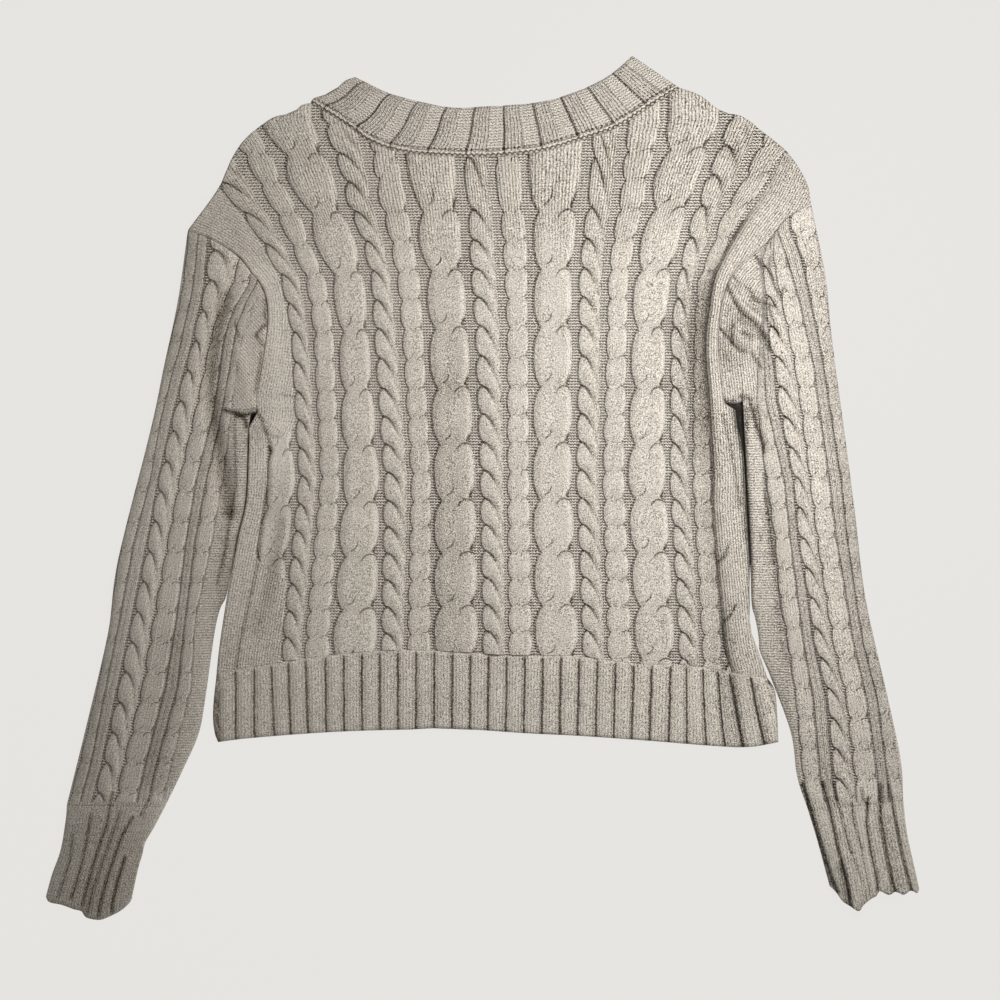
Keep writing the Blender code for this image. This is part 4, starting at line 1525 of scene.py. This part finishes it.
def makeTube(name, node, material, edges, look, mapsOf, heightOf):
    # The upper side is a dome: edge + (crown - edge) (1 - |2 u - 1|^3.4)^0.5, where u is the share
    # across. The underside lies flat and curls up to the edges: edge - edge (1 - |2 u - 1|^8)^0.5.
    (top, u), (below, under), (lining, around) = tubeGrids(edges, look)
    edge = tubeLook["edge"]
    sheets = [mapsOf(top, u, True), mapsOf(below, under, False), mapsOf(lining, around, False)]
    dome = edge + (look["crown"] - edge) * np.power(np.maximum(1 - np.abs(2 * u - 1) ** 3.4, 0), 0.5)
    away = np.minimum(u, 1 - u) * look["width"]
    surface = dome + heightOf(top, sheets[0]) * np.clip(away / tubeLook["fade"], 0, 1) ** 0.5
    head, foot = fromEdges(top)[2:]
    surface -= roundedBy(head, *look["headRound"]) + roundedBy(foot, *look["footRound"])
    low = edge - edge * np.power(np.maximum(1 - np.abs(2 * under - 1) ** 8, 0), 0.5)
    ring = np.concatenate((sheets[0], sheets[1][:, -2:0:-1]), axis=1)
    maps = np.vstack((ring.reshape(-1, 6), sheets[2].reshape(-1, 6)))
    piece = tube(name, withHeight(top, surface), withHeight(below, low), lining, maps, material)
    finishPiece(piece, node)


def sleeveMaps(side, sign, plan, shown):
    # On the inner side of a sleeve lies plain stocking stitch. On the head its wales run with the
    # armhole, or slantwise on the left sleeve. They run across below the armpit, and down at the
    # wrist. Painted shade darkens the cloth into its folds, its cuff grooves and its inner edge, and
    # painted highlights lighten it where listed.
    x, y = xy(plan)
    pattern = sleevePattern(side, x, y)
    seam, paintedShadeAndPlain = quietMaps(x, y)
    if shown:
        across = pattern[..., 0]
        if side == "left":
            plain = ease(across, 7.0, 7.05)
            armAway, armRun = 0.75 * x + 0.66 * y, 0.66 * x - 0.75 * y
        else:
            plain = ease(across, 1.0, 0.95)
            armAway, armRun = nearLine(x, y, sides[side]["arm"])
        plain = np.maximum(plain, ease(y, -249, -253))
        low = y < 62
        seam = pair(np.where(low, y, armAway), np.where(low, x, armRun))
        seam = np.where((y < -240)[..., None], pair(x + 0.25 * sign * y, y), seam)
        gap = nearLine(x, y, sides[side]["inner"])[0]
        dark = strokes(x, y, sleevePaintedShade) + strokes(x, y, cuffGrooves)
        dark += sleeveLook["gapDark"][side] * bell(gap, 2.2) * ease(y, 70, 55) * ease(y, -130, -70)
        paintedShadeAndPlain = pair(dark, plain)
    return np.concatenate((pattern, seam, paintedShadeAndPlain), axis=-1)


def sleeveHeight(plan, maps):
    # The cables or the plain stitches, plus the folds and less the grooves, in millimetres.
    plain = maps[..., 5]
    cables = armCables(maps[..., 0], maps[..., 1])[0] * (1 - plain) + sleeveLook["plain"] * plain
    folds, grooves = strokes(*xy(plan), sleeveFolds), strokes(*xy(plan), cuffGrooves)
    return sleeveLook["cables"] * cables + folds - sleeveLook["groove"] * grooves


def cuffMaps(plan, share, shown):
    # Even ribs all round, apart from the upper side, whose grooves are listed.
    x, y = xy(plan)
    ribs = np.broadcast_to(share * cuffLook["width"] / cuffLook["rib"] + 0.4, x.shape)
    seam, paintedShadeAndPlain = quietMaps(x, y)
    seam[..., 1] = ribs * cuffLook["rib"]
    if shown:
        # The grooves of the upper side are darkened with painted shade.
        paintedShadeAndPlain[..., 0] = strokes(x, y, cuffGrooves)
        ribs = np.full(x.shape, 0.5)
    return np.concatenate((pair(ribs, y), seam, paintedShadeAndPlain), axis=-1)


def cuffHeight(plan, maps):
    return cuffLook["swell"] - sleeveLook["groove"] * maps[..., 4]


def makeSleeve(side, sign):
    edges = sides[side]
    name = side.capitalize() + "Cloth"
    gap = sign * layers["gap"]
    inner, outer = chain((edges["inner"], 15)), chain((edges["outer"], 15))
    wrist = np.linspace(inner[1][-1], outer[1][-1], 60)
    head = chain((aside(smooth(edges["arm"], 200), gap), 11))
    makeTube("sleeve" + name, "sleeve_" + side, sleeveWool,
             (inner, outer, head, chain((wrist, 11))), sleeveLook,
             lambda plan, share, shown: sleeveMaps(side, sign, plan, shown), sleeveHeight)
    inner, outer = chain((edges["cuffInner"], 4)), chain((edges["cuffOuter"], 4))
    makeTube("cuff" + name, "cuff_" + side, ribWool,
             (inner, outer, chain((aside(wrist, gap), 8)), chain((edges["cuffFoot"], 8))), cuffLook,
             cuffMaps, cuffHeight)


makeBack()
makeHem()
makeNeckband()
for side, sign in (("left", -1), ("right", 1)):
    makeFront(side, sign)
    makeSleeve(side, sign)

# Studio: a pale floor, a small soft light from the right and a weaker fill.
studio = {
    "floor": (0.799, 0.783, 0.754),
    "floorGlow": 0.98,
    "floorHalf": 4,           # half its side
    "floorLevel": -0.0004,    # just below the cloth
    "keyPlace": (0.31, 0.20, 0.59),
    "keyAim": (0.05, 0.05, 0),
    "keySize": 0.20,
    "keyPower": 4.6,
    "fillColour": (1, 0.99, 0.97),
    "fill": 0.17,
    "cameraPlace": (0.014, -0.010, 2.2),
    "sensor": 36,             # in millimetres
    "distance": 2.193,        # from the camera to the cloth
    "width": 0.8,             # what the camera sees at that distance
}


def addFloor():
    half, level = studio["floorHalf"], studio["floorLevel"]
    corners = [(-half, -half, level), (half, -half, level), (half, half, level), (-half, half, level)]
    mesh = bpy.data.meshes.new("floor")
    mesh.from_pydata(corners, [], [(0, 1, 2, 3)])
    mesh.materials.append(newMaterial("floor", {
        "Base Color": (0.02, 0.02, 0.02, 1),
        "Roughness": 1.0,
        "Specular IOR Level": 0.0,
        "Emission Color": (*studio["floor"], 1),
        "Emission Strength": studio["floorGlow"],
    }))
    placed("floor", mesh)


def addLights():
    key = bpy.data.lights.new("key", "AREA")
    key.energy = studio["keyPower"]
    key.size = studio["keySize"]
    lamp = placed("key", key)
    lamp.location = studio["keyPlace"]
    towards = Vector(studio["keyAim"]) - lamp.location
    lamp.rotation_euler = towards.to_track_quat("-Z", "Y").to_euler()
    world = bpy.data.worlds.new("studio")
    world.use_nodes = True
    background = world.node_tree.nodes["Background"]
    background.inputs["Color"].default_value = (*studio["fillColour"], 1)
    background.inputs["Strength"].default_value = studio["fill"]
    bpy.context.scene.world = world


def addCamera():
    camera = bpy.data.cameras.new("camera")
    camera.sensor_width = studio["sensor"]
    camera.lens = studio["sensor"] * studio["distance"] / studio["width"]
    holder = placed("camera", camera)
    holder.location = studio["cameraPlace"]
    bpy.context.scene.camera = holder
    bpy.context.scene.view_settings.view_transform = "Standard"


addFloor()
addLights()
addCamera()
